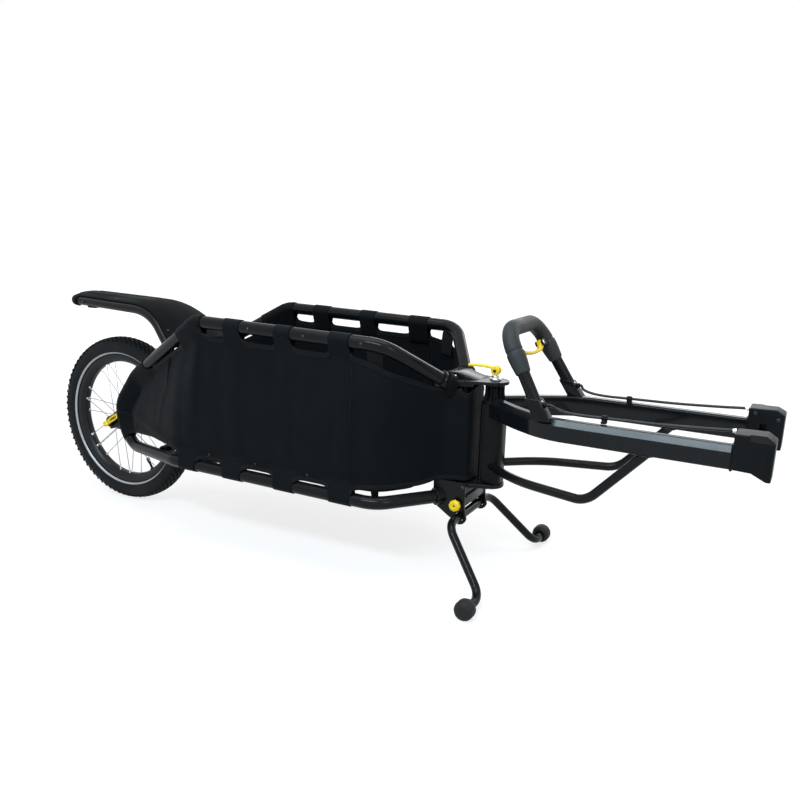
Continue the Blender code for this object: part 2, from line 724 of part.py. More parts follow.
def laced_hub():
    """Hub shell with two flanges and its spokes, which cross in pairs on each side."""
    flange, shell = HUB_FLANGE_RADIUS, HUB_SHELL_RADIUS
    outer, thick = HUB_FLANGE_OFFSET + HUB_FLANGE_THICKNESS / 2, HUB_FLANGE_THICKNESS
    end = outer + 0.007
    half = [(HUB_BORE_RADIUS, end), (shell, end), (shell, outer + 0.001), (flange, outer),
            (flange, outer - thick), (shell, outer - thick - 0.003), (shell - 0.002, 0.006)]
    profile = half + [(r, -h) for r, h in half[::-1]]
    hub = turned("laced_hub", profile, 18, closed=True)
    work = bmesh.new()
    for index in range(SPOKE_COUNT):
        start, seat = spoke_ends(index)
        along = seat - start
        turn = Vector((0, 0, 1)).rotation_difference(along).to_matrix().to_4x4()
        place = Matrix.Translation((start + seat) / 2) @ turn
        bmesh.ops.create_cone(work, cap_ends=True, segments=4, radius1=SPOKE_RADIUS,
                              radius2=SPOKE_RADIUS, depth=along.length, matrix=place)
    spokes = from_bmesh("spokes", work)
    hang(add(join(hub, spokes), SPOKE_STEEL), WHEEL)


def bearings_and_axle():
    end = HUB_FLANGE_OFFSET + HUB_FLANGE_THICKNESS / 2 + 0.007
    for name, side in SIDES.items():
        inner, outer = AXLE_RADIUS + RUNNING, HUB_BORE_RADIUS - GAP
        ring = [(inner, end - BEARING_WIDTH), (outer, end - BEARING_WIDTH),
                (outer, end), (inner, end)]
        ring = [(radius, side * height) for radius, height in ring]
        hang(add(turned(f"hub_bearing_{name}", ring, 16, closed=True), STEEL), WHEEL)
    reach = DROPOUT_SPACING / 2 + ARM_PLATE - 0.001
    nut = DROPOUT_SPACING / 2 - GAP
    half = [(AXLE_BORE_RADIUS, reach), (AXLE_RADIUS, reach), (AXLE_RADIUS, nut), (0.0095, nut),
            (0.0095, nut - 0.005), (AXLE_RADIUS, nut - 0.008)]
    profile = half + [(r, -h) for r, h in half[::-1]]
    hang(add(turned("wheel_axle", profile, 14, closed=True), STEEL), SWING)


def swing_arms():
    """Bent arms beside the wheel, from the pivot shaft over an elbow down to the axle."""
    centre = DROPOUT_SPACING / 2 + GAP + ARM_PLATE / 2
    for name, side in SIDES.items():
        outline = elbow_outline((0, 0), ARM_TIP_RADIUS, ARM_ELBOW, ARM_ELBOW_RADIUS, PIVOT, ARM_EYE_RADIUS)
        arm = plate(f"swing_arm_{name}", outline, ARM_PLATE, (0, side * centre, 0), upright=True)
        cup = rod("spring_cup", (SPRING_STATION, side * centre, SPRING_SEAT_HEIGHT - 0.026),
                  (SPRING_STATION, side * centre, SPRING_SEAT_HEIGHT), SPRING_RADIUS + 0.002)
        boss = rod("arm_boss", (PIVOT[0], side * (centre - 0.009), PIVOT[1]),
                   (PIVOT[0], side * (centre + 0.009), PIVOT[1]), PIVOT_BOSS_RADIUS)
        join(arm, cup, boss)
        eye = rod("arm_eye", (PIVOT[0], side * 0.03, PIVOT[1]), (PIVOT[0], side * 0.08, PIVOT[1]),
                  PIVOT_SHAFT_RADIUS + RUNNING)
        slot = plate("axle_slot", rounded_rectangle(0.050, 2 * (AXLE_RADIUS + RUNNING),
                                                    AXLE_RADIUS, centre=(0.0198, 0)), 0.03)
        slot.data.transform(Matrix.Rotation(math.pi / 2, 4, "X"))
        slot.data.transform(Matrix.Rotation(math.radians(125), 4, "Y"))
        slot.location = (0, side * centre, 0)
        hang(add(cut(arm, eye, slot), PAINT), SWING)


def spring_path(side):
    """One unbroken coil, its end turns lying flatter than the rest."""
    centre = DROPOUT_SPACING / 2 + GAP + ARM_PLATE / 2
    wire = SPRING_WIRE
    low = SPRING_SEAT_HEIGHT + GAP + wire
    high = low + SPRING_LENGTH - 2 * wire
    points = []
    for step in range(8 * SPRING_TURNS + 1):
        share = step / (8 * SPRING_TURNS)
        eased = share - 0.085 * math.sin(2 * math.pi * share) / (2 * math.pi) * 4
        angle = 2 * math.pi * SPRING_TURNS * share
        points.append(Vector((SPRING_STATION + (SPRING_RADIUS - wire) * math.cos(angle),
                              side * centre + (SPRING_RADIUS - wire) * math.sin(angle),
                              low + (high - low) * eased)))
    return points


def least_gap(points, wire, turn_points):
    """Smallest clear distance between a coil's turns, wall to wall."""
    least = math.inf
    for first, place in enumerate(points):
        for second in range(first + turn_points // 2, len(points)):
            least = min(least, (points[second] - place).length - 2 * wire)
    return least


def springs():
    for name, side in SIDES.items():
        points = spring_path(side)
        print(f"suspension_spring_{name}: least gap {least_gap(points, SPRING_WIRE, 8) * 1000:.2f} mm")
        coil = tube(f"suspension_spring_{name}", points, SPRING_WIRE, 1)
        hang(add(coil, STEEL), CHASSIS)


def spring_seats():
    """Caps over the springs, each on a stub from its side frame."""
    centre = DROPOUT_SPACING / 2 + GAP + ARM_PLATE / 2
    low = SPRING_SEAT_HEIGHT + 2 * GAP + SPRING_LENGTH
    for name, side in SIDES.items():
        cap = rod(f"spring_seat_{name}", (SPRING_STATION, side * centre, low),
                  (SPRING_STATION, side * centre, low + 0.006), SPRING_RADIUS + 0.002)
        stub = box("seat_stub", (0.018, 0.027, 0.012),
                   (SPRING_STATION, side * (centre + 0.005), low + 0.0110))
        hang(add(cut(join(cap, stub), COPES[side]), PAINT), CHASSIS)


def swing_pivot():
    """The swing arm's shaft, clamped in a boss on each bottom tube."""
    heel, rail = Vector(loop_corners(1)[5]), Vector(loop_corners(1)[6])
    middle = heel.lerp(rail, (PIVOT[0] - heel.x) / (rail.x - heel.x))
    for name, side in SIDES.items():
        boss = rod(f"pivot_boss_{name}", (PIVOT[0], side * (middle.y - 0.034), PIVOT[1]),
                   (PIVOT[0], side * (middle.y - 0.007), PIVOT[1]), 0.0120)
        bore = rod("boss_bore", (PIVOT[0], side * 0.03, PIVOT[1]), (PIVOT[0], side * 0.15, PIVOT[1]),
                   PIVOT_SHAFT_RADIUS + GAP)
        hang(add(cut(boss, COPES[side], bore), PAINT), CHASSIS)
    reach = middle.y - FRAME_TUBE_RADIUS - 0.005
    hang(add(rod("swing_pivot_shaft", (PIVOT[0], -reach, PIVOT[1]), (PIVOT[0], reach, PIVOT[1]),
                 PIVOT_SHAFT_RADIUS), STEEL), CHASSIS)


def lever_shape(name, length, thickness):
    """A cam lever in its own frame: cam on the local Y axis, grip along +X."""
    work = bmesh.new()
    rows = []
    for share in np.linspace(0, 1, 9):
        x = 0.004 + (length - 0.004) * share
        width = LEVER_WIDTH * (0.42 + 0.09 * math.sin(math.pi * share) + 0.03 * share)
        bow = 0.0022 * math.sin(math.pi * share)
        rows.append([work.verts.new((x, sy * width, bow + sz * thickness / 2))
                     for sy, sz in ((-1, -1), (1, -1), (1, 1), (-1, 1))])
    for first, second in zip(rows, rows[1:]):
        for index in range(4):
            other = (index + 1) % 4
            work.faces.new((first[index], first[other], second[other], second[index]))
    work.faces.new(rows[0][::-1])
    work.faces.new(rows[-1])
    bmesh.ops.recalc_face_normals(work, faces=work.faces)
    lever = from_bmesh(name, work)
    modifier(lever, "BEVEL", "edges", width=0.0012, segments=1, limit_method="ANGLE")
    return lever


def wheel_quick_release():
    """Skewer through the hollow axle, with a nut on the left and a cam lever on the right."""
    face = DROPOUT_SPACING / 2 + 2 * GAP + ARM_PLATE
    saddle_end, cam = face + 0.004, face + 0.0115
    hang(add(rod("wheel_skewer", (0, -saddle_end + 0.0005, 0), (0, face + 0.012, 0), SKEWER_RADIUS, 12),
             STEEL), SWING)
    saddle = turned("skewer_saddle", [(SKEWER_RADIUS + GAP, -face), (0.010, -face), (0.0095, -saddle_end),
                                      (SKEWER_RADIUS + GAP, -saddle_end)][::-1], 20, closed=True)
    hang(add(saddle, PLASTIC), SWING)
    inside = SKEWER_RADIUS + GAP
    nut = turned("skewer_nut", [(0, face + 0.0125), (inside, face + 0.0125), (inside, face), (0.0095, face),
                                (0.0085, face + 0.009), (0.0055, face + 0.014), (0, face + 0.0145)], 20)
    hang(add(nut, PLASTIC), SWING)
    lever_axis = pivot("wheel_lever_axis", (0, -cam, 0), SWING)
    lever = lever_shape("wheel_lever", LEVER_LENGTH, LEVER_THICKNESS)
    lever.data.transform(Matrix.Rotation(-LEVER_ANGLE, 4, "Y") @ Matrix.Rotation(math.pi / 2, 4, "X"))
    lever.location = (0, -cam, 0)
    across = Vector((-math.sin(LEVER_ANGLE), 0, math.cos(LEVER_ANGLE))) * (LEVER_WIDTH / 2 - 0.0005)
    middle = Vector((0, -cam, 0))
    hub = rod("wheel_cam", middle - across, middle + across, 0.0068)
    window = rod("lever_window", (0, -cam - 0.02, 0), (0, -cam + 0.02, 0), 0.0018, 12)
    window.location = Vector((math.cos(LEVER_ANGLE), 0, math.sin(LEVER_ANGLE))) * (LEVER_LENGTH - 0.009)
    window.location.y = -cam
    hang(add(cut(join(lever, hub), window), YELLOW), lever_axis)


def post_outline(grow=0.0):
    return rounded_rectangle(POST_LENGTH + 2 * grow, POST_WIDTH + 2 * grow, POST_CORNER + grow, 5,
                             (HEAD_X, 0))


def head_pin_bore(name, low, high):
    return rod(name, (HEAD_X, 0, low), (HEAD_X, 0, high), HEAD_PIN_RADIUS + RUNNING)


def steering_post():
    middle = (POST_BOTTOM + POST_TOP) / 2
    post = plate("steering_post", post_outline(), POST_TOP - POST_BOTTOM, (0, 0, middle), bevel=0.002)
    groove = box("post_groove", (0.006, 0.003, POST_TOP - POST_BOTTOM - 0.05),
                 (HEAD_X - 0.012, -POST_WIDTH / 2, middle))
    hang(add(cut(post, head_pin_bore("post_bore", POST_BOTTOM - 0.01, POST_TOP + 0.01), groove),
             PLASTIC), STEER)


def head_collar():
    """Ribbed collar between the post and the upper tongue: a flared skirt with upright fins."""
    low, high = POST_TOP + GAP, COLLAR_TOP
    bore = HEAD_PIN_RADIUS + RUNNING
    profile = [(bore, high), (0.0185, high), (0.0185, high - 0.004), (0.0120, high - 0.008),
               (0.0145, low + 0.008), (COLLAR_RADIUS, low + 0.003), (COLLAR_RADIUS, low), (bore, low)]
    collar = turned("head_collar", profile, 24, closed=True, axis="Z", place=(HEAD_X, 0, 0))
    work = bmesh.new()
    for index in range(COLLAR_RIBS):
        turn = Matrix.Rotation(2 * math.pi * index / COLLAR_RIBS, 4, "Z")
        fin = bmesh.ops.create_cube(work, size=1.0)["verts"]
        bmesh.ops.scale(work, vec=(0.0090, 0.0026, high - low - 0.003), verts=fin)
        bmesh.ops.translate(work, vec=(0.0135, 0, (high + low) / 2), verts=fin)
        for vert in fin:
            if vert.co.z < (high + low) / 2 and vert.co.x > 0.0135:
                vert.co.x = COLLAR_RADIUS - 0.0004
        bmesh.ops.transform(work, matrix=turn, verts=fin)
    fins = from_bmesh("collar_fins", work)
    fins.location = (HEAD_X, 0, 0)
    hang(add(join(collar, fins), GLASS_FILLED), STEER)


def head_pin_and_lever():
    """The pin that the tow fork turns on, drawn tight by a cam lever on the eye at its top."""
    tongue_top = COLLAR_TOP + GAP + TONGUE_THICKNESS
    base = POST_BOTTOM - RUNNING - 0.008
    collar_top = tongue_top + 0.0095
    centre = collar_top + GAP + HEAD_CAM_RADIUS
    profile = [(0, collar_top), (0.0074, collar_top), (0.0074, tongue_top + 0.004),
               (0.0105, tongue_top + 0.004), (0.0105, tongue_top + GAP),
               (HEAD_PIN_RADIUS, tongue_top + GAP), (HEAD_PIN_RADIUS, base - GAP),
               (0.0095, base - GAP), (0.0095, base - 0.007), (0, base - 0.007)]
    pin = turned("head_pin", profile, 16, axis="Z", place=(HEAD_X, 0, 0))
    outline = [(-0.0055, -0.010), (0.0055, -0.010)] + arc((0, 0), 0.0055, 0, 180, 8)
    eye = plate("stud_eye", outline, HEAD_EYE_WIDTH, (HEAD_X, 0, centre), upright=True)
    cross = rod("cam_cross_pin", (HEAD_X, -0.0085, centre), (HEAD_X, 0.0085, centre), 0.0025, 12)
    hang(add(join(pin, eye, cross), STEEL), CHASSIS)
    lever_axis = pivot("head_lever_axis", (HEAD_X, 0, centre), CHASSIS)
    lever = lever_shape("head_lever", HEAD_LEVER_LENGTH, LEVER_THICKNESS)
    lever.data.transform(Matrix.Translation((0, 0, 0.0045)) @ Matrix.Rotation(math.pi, 4, "Z"))
    lever.location = (HEAD_X, 0, centre)
    hub = rod("head_cam", (HEAD_X, -0.0072, centre), (HEAD_X, 0.0072, centre), HEAD_CAM_RADIUS, 20)
    window = box("cam_window", (0.030, HEAD_EYE_WIDTH + 2 * GAP, 0.030),
                 (HEAD_X + 0.015 - 0.0062, 0, centre))
    bore = rod("head_cam_bore", (HEAD_X, -0.02, centre), (HEAD_X, 0.02, centre), 0.0025 + GAP, 12)
    hang(add(cut(join(lever, hub), window, bore), YELLOW), lever_axis)


def tow_arm_path(side):
    corners = [(HEAD_X + 0.004, side * 0.012, TOW_ARM_LEVEL),
               (HEAD_X + 0.070, side * 0.063, TOW_ARM_LEVEL),
               (TOW_ARM_SHOULDER, side * TOW_ARM_HALF_WIDTH, TOW_ARM_LEVEL),
               (TOW_ARM_END, side * TOW_ARM_HALF_WIDTH, TOW_ARM_LEVEL)]
    return rounded_path(corners, [0.30, 0.13], math.radians(5))


def swept(name, path, section):
    """A closed section swept along a level path: its first coordinate across, its second upwards."""
    work = bmesh.new()
    rings = []
    for index, place in enumerate(path):
        before = path[max(index - 1, 0)]
        after = path[min(index + 1, len(path) - 1)]
        along = (after - before).normalized()
        across = Vector((-along.y, along.x, 0))
        rings.append([work.verts.new(place + across * u + Vector((0, 0, v))) for u, v in section])
    for first, second in zip(rings, rings[1:]):
        for index in range(len(section)):
            other = (index + 1) % len(section)
            work.faces.new((first[index], first[other], second[other], second[index]))
    work.faces.new(rings[0])
    work.faces.new(rings[-1][::-1])
    bmesh.ops.recalc_face_normals(work, faces=work.faces)
    return from_bmesh(name, work)


def tow_arm_section(grow=0.0):
    return rounded_rectangle(TOW_ARM_WIDTH + 2 * grow, TOW_ARM_HEIGHT + 2 * grow,
                             TOW_ARM_CORNER + grow, 2)


def tow_arms():
    post = plate("post_clearance", post_outline(GAP), 0.4, (0, 0, TOW_ARM_LEVEL))
    collar = rod("collar_clearance", (HEAD_X, 0, POST_TOP - 0.001), (HEAD_X, 0, POST_TOP + 0.1),
                 COLLAR_RADIUS + 2 * GAP, 32)
    for name, side in SIDES.items():
        arm = swept(f"tow_arm_{name}", tow_arm_path(side), tow_arm_section())
        hang(add(cut(arm, post, collar), PAINT), STEER)
    return post


def stay_path(side):
    corners = [(HEAD_X + 0.004, side * 0.012, STAY_LEVEL),
               (HEAD_X + 0.075, side * 0.072, STAY_LEVEL),
               (STAY_HEEL, side * (TOW_ARM_HALF_WIDTH + 0.009), STAY_LEVEL),
               (STAY_END, side * (TOW_ARM_HALF_WIDTH - 0.001), TOW_ARM_LEVEL - 0.012)]
    return rounded_path(corners, [0.22, 0.045], math.radians(10))


def stays(post):
    ceiling = TOW_ARM_LEVEL - TOW_ARM_HEIGHT / 2 - GAP
    roof = box("stay_roof", (0.6, 0.4, 0.1), (STAY_END, 0, ceiling + 0.05))
    for name, side in SIDES.items():
        stay = as_mesh(tube(f"lower_stay_{name}", stay_path(side), STAY_RADIUS, 4))
        hang(add(cut(stay, post, roof), PAINT), STEER)


def block_outline(grow=0.0):
    """Side view of a hitch block, with its sloped brow and its deeper front toe."""
    return [(BLOCK_BACK, BLOCK_TOP - 0.003), (BLOCK_BACK + 0.003, BLOCK_TOP),
            (BLOCK_FRONT - 0.014, BLOCK_TOP + 0.001), (BLOCK_FRONT, BLOCK_TOP - 0.008),
            (BLOCK_FRONT - 0.001, BLOCK_TOP - 0.071), (BLOCK_FRONT - 0.026, BLOCK_TOP - 0.059),
            (BLOCK_BACK + 0.002, BLOCK_TOP - 0.056), (BLOCK_BACK, BLOCK_TOP - 0.053)]


def hitch_blocks():
    """Moulded hitch ends: the arm in a pocket behind, a slot for the axle stud, a sliding latch."""
    inner = TOW_ARM_HALF_WIDTH - BLOCK_WIDTH / 2
    for name, side in SIDES.items():
        block = plate(f"hitch_block_{name}", block_outline(), BLOCK_WIDTH,
                      (0, side * TOW_ARM_HALF_WIDTH, 0), upright=True, bevel=0.0025)
        brow = box("block_brow", (0.060, 0.02, 0.02),
                   (BLOCK_FRONT - 0.006, side * (TOW_ARM_HALF_WIDTH + BLOCK_WIDTH / 2 + 0.003), BLOCK_TOP + 0.004),
                   rotation=(side * math.radians(38), 0, 0))
        pocket = box("arm_pocket", (0.05, TOW_ARM_WIDTH + 2 * GAP, TOW_ARM_HEIGHT + 2 * GAP),
                     (TOW_ARM_END + GAP - 0.025, side * TOW_ARM_HALF_WIDTH, TOW_ARM_LEVEL))
        slot_low = BLOCK_TOP - 0.09
        slot = box("stud_slot", (HITCH_SLOT_WIDTH, 2 * HITCH_SLOT_DEPTH, HITCH_SLOT_TOP - slot_low),
                   (HITCH_SLOT_X, side * inner, (HITCH_SLOT_TOP + slot_low) / 2))
        rest = HITCH_SLOT_X - HITCH_SLOT_WIDTH / 2 + 0.0022
        tunnel_back, tunnel_front = HITCH_SLOT_X, rest + LATCH_LENGTH + LATCH_TRAVEL
        latch_y = side * (inner + 0.013)
        tunnel = box("latch_tunnel", (tunnel_front - tunnel_back, LATCH_WIDTH + 2 * GAP,
                                      LATCH_HEIGHT + 2 * GAP),
                     ((tunnel_front + tunnel_back) / 2, latch_y, LATCH_LEVEL))
        cut(block, brow, pocket, slot, tunnel)
        hang(add(block, GLASS_FILLED), STEER)
        axis = pivot(f"latch_axis_{name}", (rest, latch_y, LATCH_LEVEL), STEER)
        latch = box(f"hitch_latch_{name}", (LATCH_LENGTH, LATCH_WIDTH, LATCH_HEIGHT),
                    (rest + LATCH_LENGTH / 2, latch_y, LATCH_LEVEL), bevel=0.0012)
        hang(add(latch, STEEL), axis)


def handle_point(y, along):
    """A point of the leaning handle plane, along measured up its legs from the tow arms."""
    foot = TOW_ARM_LEVEL + TOW_ARM_HEIGHT / 2 + 0.003
    return Vector((HANDLE_FOOT_X - along * math.sin(HANDLE_LEAN), y,
                   foot + along * math.cos(HANDLE_LEAN)))


def handle_path(start):
    """The inverted U, from height start on the right leg to the same on the left."""
    spread = TOW_ARM_HALF_WIDTH - 0.001
    lean = (spread - HANDLE_HALF_WIDTH) / HANDLE_HEIGHT
    corners = [handle_point(-spread + lean * start, start),
               handle_point(-HANDLE_HALF_WIDTH, HANDLE_HEIGHT),
               handle_point(HANDLE_HALF_WIDTH, HANDLE_HEIGHT),
               handle_point(spread - lean * start, start)]
    return rounded_path(corners, [HANDLE_BEND, HANDLE_BEND])


def grip_radii(points):
    """The grip thins towards each end, with a raised ring where its lower boots begin."""
    lengths = [0.0]
    for before, after in zip(points, points[1:]):
        lengths.append(lengths[-1] + (after - before).length)
    radii = []
    for run in lengths:
        near = min(run, lengths[-1] - run)
        radii.append(min(1.0, 0.88 + 0.12 * near / 0.020) if near < 0.020 else 1.0)
    return radii


def refined(points, longest):
    """The same path with points added so that no run is longer than longest."""
    path = [points[0]]
    for before, after in zip(points, points[1:]):
        count = max(1, math.ceil((after - before).length / longest))
        path += [before.lerp(after, step / count) for step in range(1, count + 1)]
    return path


def handle():
    bars = as_mesh(tube("handle_tube", handle_path(-0.004), HANDLE_TUBE_RADIUS, 3))
    foot = TOW_ARM_LEVEL + TOW_ARM_HEIGHT / 2 + 0.0025
    floor = box("handle_floor", (0.1, 0.4, 0.05), (HANDLE_FOOT_X, 0, foot - 0.025))
    hang(add(cut(bars, floor), PAINT), STEER)
    points = refined(handle_path(GRIP_START), 0.070)
    grip = as_mesh(tube("handle_grip", points, GRIP_RADIUS, 3, grip_radii(points)))
    core = as_mesh(tube("grip_bore", handle_path(GRIP_START - 0.02), HANDLE_TUBE_RADIUS + GAP, 3))
    hang(add(cut(grip, core), RUBBER), STEER)
    for name, side in SIDES.items():
        spread = side * (TOW_ARM_HALF_WIDTH - 0.001)
        clamp = box(f"handle_bracket_{name}", (0.036, 0.0256, 0.010),
                    (HANDLE_FOOT_X - 0.001, spread, TOW_ARM_LEVEL + TOW_ARM_HEIGHT / 2 + GAP + 0.005),
                    bevel=0.0015)
        foot_end, corner = handle_path(-0.030)[0], handle_point(HANDLE_HALF_WIDTH, HANDLE_HEIGHT)
        low, high = (Vector((end.x, side * abs(end.y), end.z)) for end in (foot_end, corner))
        leg = rod("leg_clearance", low, low.lerp(high, 0.5), HANDLE_TUBE_RADIUS + 2 * GAP)
        hang(add(cut(clamp, leg), PAINT), STEER)


def trigger():
    """Finger lever under the handle's top bar, with its bracket on the left leg and its pin."""
    pin_y, pin_s = TRIGGER_PIVOT
    normal = Vector((math.cos(HANDLE_LEAN), 0, math.sin(HANDLE_LEAN)))
    centre = handle_point(pin_y, pin_s)
    axis = pivot("trigger_axis", centre, STEER)
    profile = [(0.006, 0.0), (0.004, -0.007), (-0.004, -0.012), (-0.030, -0.0145), (-0.060, -0.0135),
               (-0.088, -0.009), (-0.098, -0.0045), (-0.100, -0.001), (-0.096, -0.0005),
               (-0.084, -0.0035), (-0.058, -0.0075), (-0.030, -0.0080), (-0.012, -0.004), (-0.004, 0.0055)]
    lever = plate("release_trigger", profile, TRIGGER_THICKNESS, bevel=0.0014)
    frame = Matrix.Rotation(-HANDLE_LEAN, 4, "Y") @ Matrix(((0, 0, 1, 0), (1, 0, 0, 0), (0, 1, 0, 0),
                                                          (0, 0, 0, 1)))
    lever.data.transform(frame)
    lever.location = centre
    hole = rod("trigger_hole", centre - normal * 0.02, centre + normal * 0.02,
               TRIGGER_PIN_RADIUS + RUNNING, 12)
    hang(add(cut(lever, hole), YELLOW), axis)
    hang(add(rod("trigger_pin", centre - normal * 0.0085, centre + normal * 0.0085,
                 TRIGGER_PIN_RADIUS, 12), STEEL), STEER)
    cheek = [(0.030, -0.008), (0.030, 0.008), (-0.002, 0.006), (-0.006, 0.0), (-0.002, -0.006)]
    bracket = plate("trigger_bracket", cheek, 0.0155)
    bracket.data.transform(frame)
    bracket.location = centre
    gap = plate("trigger_gap", [(0.0095, -0.02), (0.0095, 0.02), (-0.03, 0.02), (-0.03, -0.02)],
                TRIGGER_THICKNESS + 0.001)
    gap.data.transform(frame)
    gap.location = centre
    pin_bore = rod("pin_bore", centre - normal * 0.02, centre + normal * 0.02,
                   TRIGGER_PIN_RADIUS + GAP, 12)
    grip = as_mesh(tube("grip_clearance", handle_path(GRIP_START), GRIP_RADIUS + GAP, 3))
    hang(add(cut(bracket, gap, pin_bore, grip), PLASTIC), STEER)


def cable_route(side):
    """Out of the front of a handle leg, down to the tow arm and along it to the hitch block."""
    inward = side * (TOW_ARM_HALF_WIDTH - 0.013)
    top = TOW_ARM_LEVEL + TOW_ARM_HEIGHT / 2
    normal = Vector((math.cos(HANDLE_LEAN), 0, math.sin(HANDLE_LEAN)))
    leave = handle_point(side * (TOW_ARM_HALF_WIDTH - 0.008), 0.030) + normal * (HANDLE_TUBE_RADIUS + GAP)
    return [leave, leave + normal * 0.008 + Vector((0.002, 0, -0.003)),
            (HANDLE_FOOT_X + 0.0180, inward, top + 0.0200),
            (HANDLE_FOOT_X + 0.0330, inward, top + 0.0115),
            (HANDLE_FOOT_X + 0.0600, inward, top + 0.0080),
            (CLIP_X, inward, top + 0.0090),
            (CLIP_X + 0.080, inward, top + 0.0110),
            (BLOCK_BACK - 0.051, inward, top + 0.0150),
            (BLOCK_BACK - 0.012, inward, top + 0.0180),
            (BLOCK_BACK - GAP, inward, top + 0.0185)]


def smooth_curve(points, per_run):
    """Points on a Catmull-Rom curve through the given ones."""
    points = [Vector(point) for point in points]
    ends = [2 * points[0] - points[1]] + points + [2 * points[-1] - points[-2]]
    path = []
    for p0, p1, p2, p3 in zip(ends, ends[1:], ends[2:], ends[3:]):
        for step in range(per_run):
            t = step / per_run
            path.append(0.5 * (2 * p1 + (p2 - p0) * t + (2 * p0 - 5 * p1 + 4 * p2 - p3) * t * t
                               + (3 * p1 - p0 - 3 * p2 + p3) * t ** 3))
    return path + [points[-1]]


def cables():
    top = TOW_ARM_LEVEL + TOW_ARM_HEIGHT / 2
    for name, side in SIDES.items():
        path = smooth_curve(cable_route(side), 2)
        hang(add(tube(f"release_cable_{name}", path, CABLE_RADIUS, 2), CABLE), STEER)
        inward = side * (TOW_ARM_HALF_WIDTH - 0.013)
        clip = box(f"cable_clip_{name}", (0.009, 0.011, 0.0135), (CLIP_X, inward + side * 0.002,
                                                               top + GAP + 0.0068), bevel=0.002)
        bore = rod("clip_bore", (CLIP_X - 0.02, inward, top + 0.0090), (CLIP_X + 0.02, inward, top + 0.0092),
                   CABLE_RADIUS + 2 * GAP, 12)
        hang(add(cut(clip, bore), PLASTIC), STEER)


def leg_path(side):
    """Half of the stand's bent bar: along its axis, down and out, then level into the foot."""
    x, z = STAND_PIVOT
    foot = on_ground(FOOT_X, FOOT_RADIUS)
    return [(x, side * STAND_SHOULDER, z), (STAND_ANKLE[0], side * STAND_ANKLE[1], foot),
            (FOOT_X, side * (FOOT_HALF_SPAN + FOOT_LENGTH / 2 - 0.006), foot)]


def stand():
    """Two-legged stand: one bar bent into two splayed legs, and a rubber roller on each toe."""
    path = rounded_path(leg_path(-1)[::-1] + leg_path(1), [0.034, 0.034, 0.034, 0.034])
    hang(add(tube("stand_legs", path, STAND_TUBE_RADIUS, 3), PAINT), STAND)
    foot = on_ground(FOOT_X, FOOT_RADIUS)
    for name, side in SIDES.items():
        low, high = FOOT_HALF_SPAN - FOOT_LENGTH / 2, FOOT_HALF_SPAN + FOOT_LENGTH / 2
        bore = STAND_TUBE_RADIUS + 2.5 * GAP
        profile = [(0, high - 0.005), (bore, high - 0.005), (bore, low), (FOOT_RADIUS - 0.003, low),
                   (FOOT_RADIUS, low + 0.003), (FOOT_RADIUS, high - 0.003), (FOOT_RADIUS - 0.003, high),
                   (0, high)]
        profile = [(radius, side * height) for radius, height in profile]
        roller = turned(f"stand_foot_{name}", profile, 16, place=(FOOT_X, 0, foot))
        toe = as_mesh(tube("toe_clearance", rounded_path(leg_path(side), [0.034]), bore, 3))
        hang(add(cut(roller, toe), RUBBER), STAND)


def stand_release():
    """Sprung push button on the right-hand ear that frees the stand."""
    x, z = RELEASE_PLACE
    face = STAND_PLATE_OFFSET + STAND_PLATE / 2
    axis = pivot("release_axis", (x, -face, z), CHASSIS)
    profile = [(0, -face - 0.0145), (0.0085, -face - 0.0140), (0.0115, -face - 0.0110),
               (0.0115, -face - 0.0052), (0.005, -face - 0.0045), (0.005, -face + STAND_PLATE + 0.001),
               (0, -face + STAND_PLATE + 0.001)]
    hang(add(turned("stand_release_button", profile, 18, place=(x, 0, z)), YELLOW), axis)


def edge_line(points, stations, offset):
    """Where a sheet ends beside a bent tube: (y, z) at each station, offset clear of its centre line."""
    points = sorted(points, key=lambda point: point.x)
    dense = refined(points, 0.004)
    run = [point.x for point in dense]
    found = []
    for x, clear in zip(stations, offset):
        y = float(np.interp(x, run, [point.y for point in dense]))
        z = float(np.interp(x, run, [point.z for point in dense]))
        reach = min((Vector((x, y, z + lift)) - near).length - abs(clear)
                    for lift in (clear,) for near in dense)
        steps = 0
        lift = clear
        while reach < 0 and steps < 200:
            lift += math.copysign(0.001, clear)
            reach = min((Vector((x, y, z + lift)) - near).length for near in dense) - abs(clear)
            steps += 1
        found.append((y, z + lift))
    return found


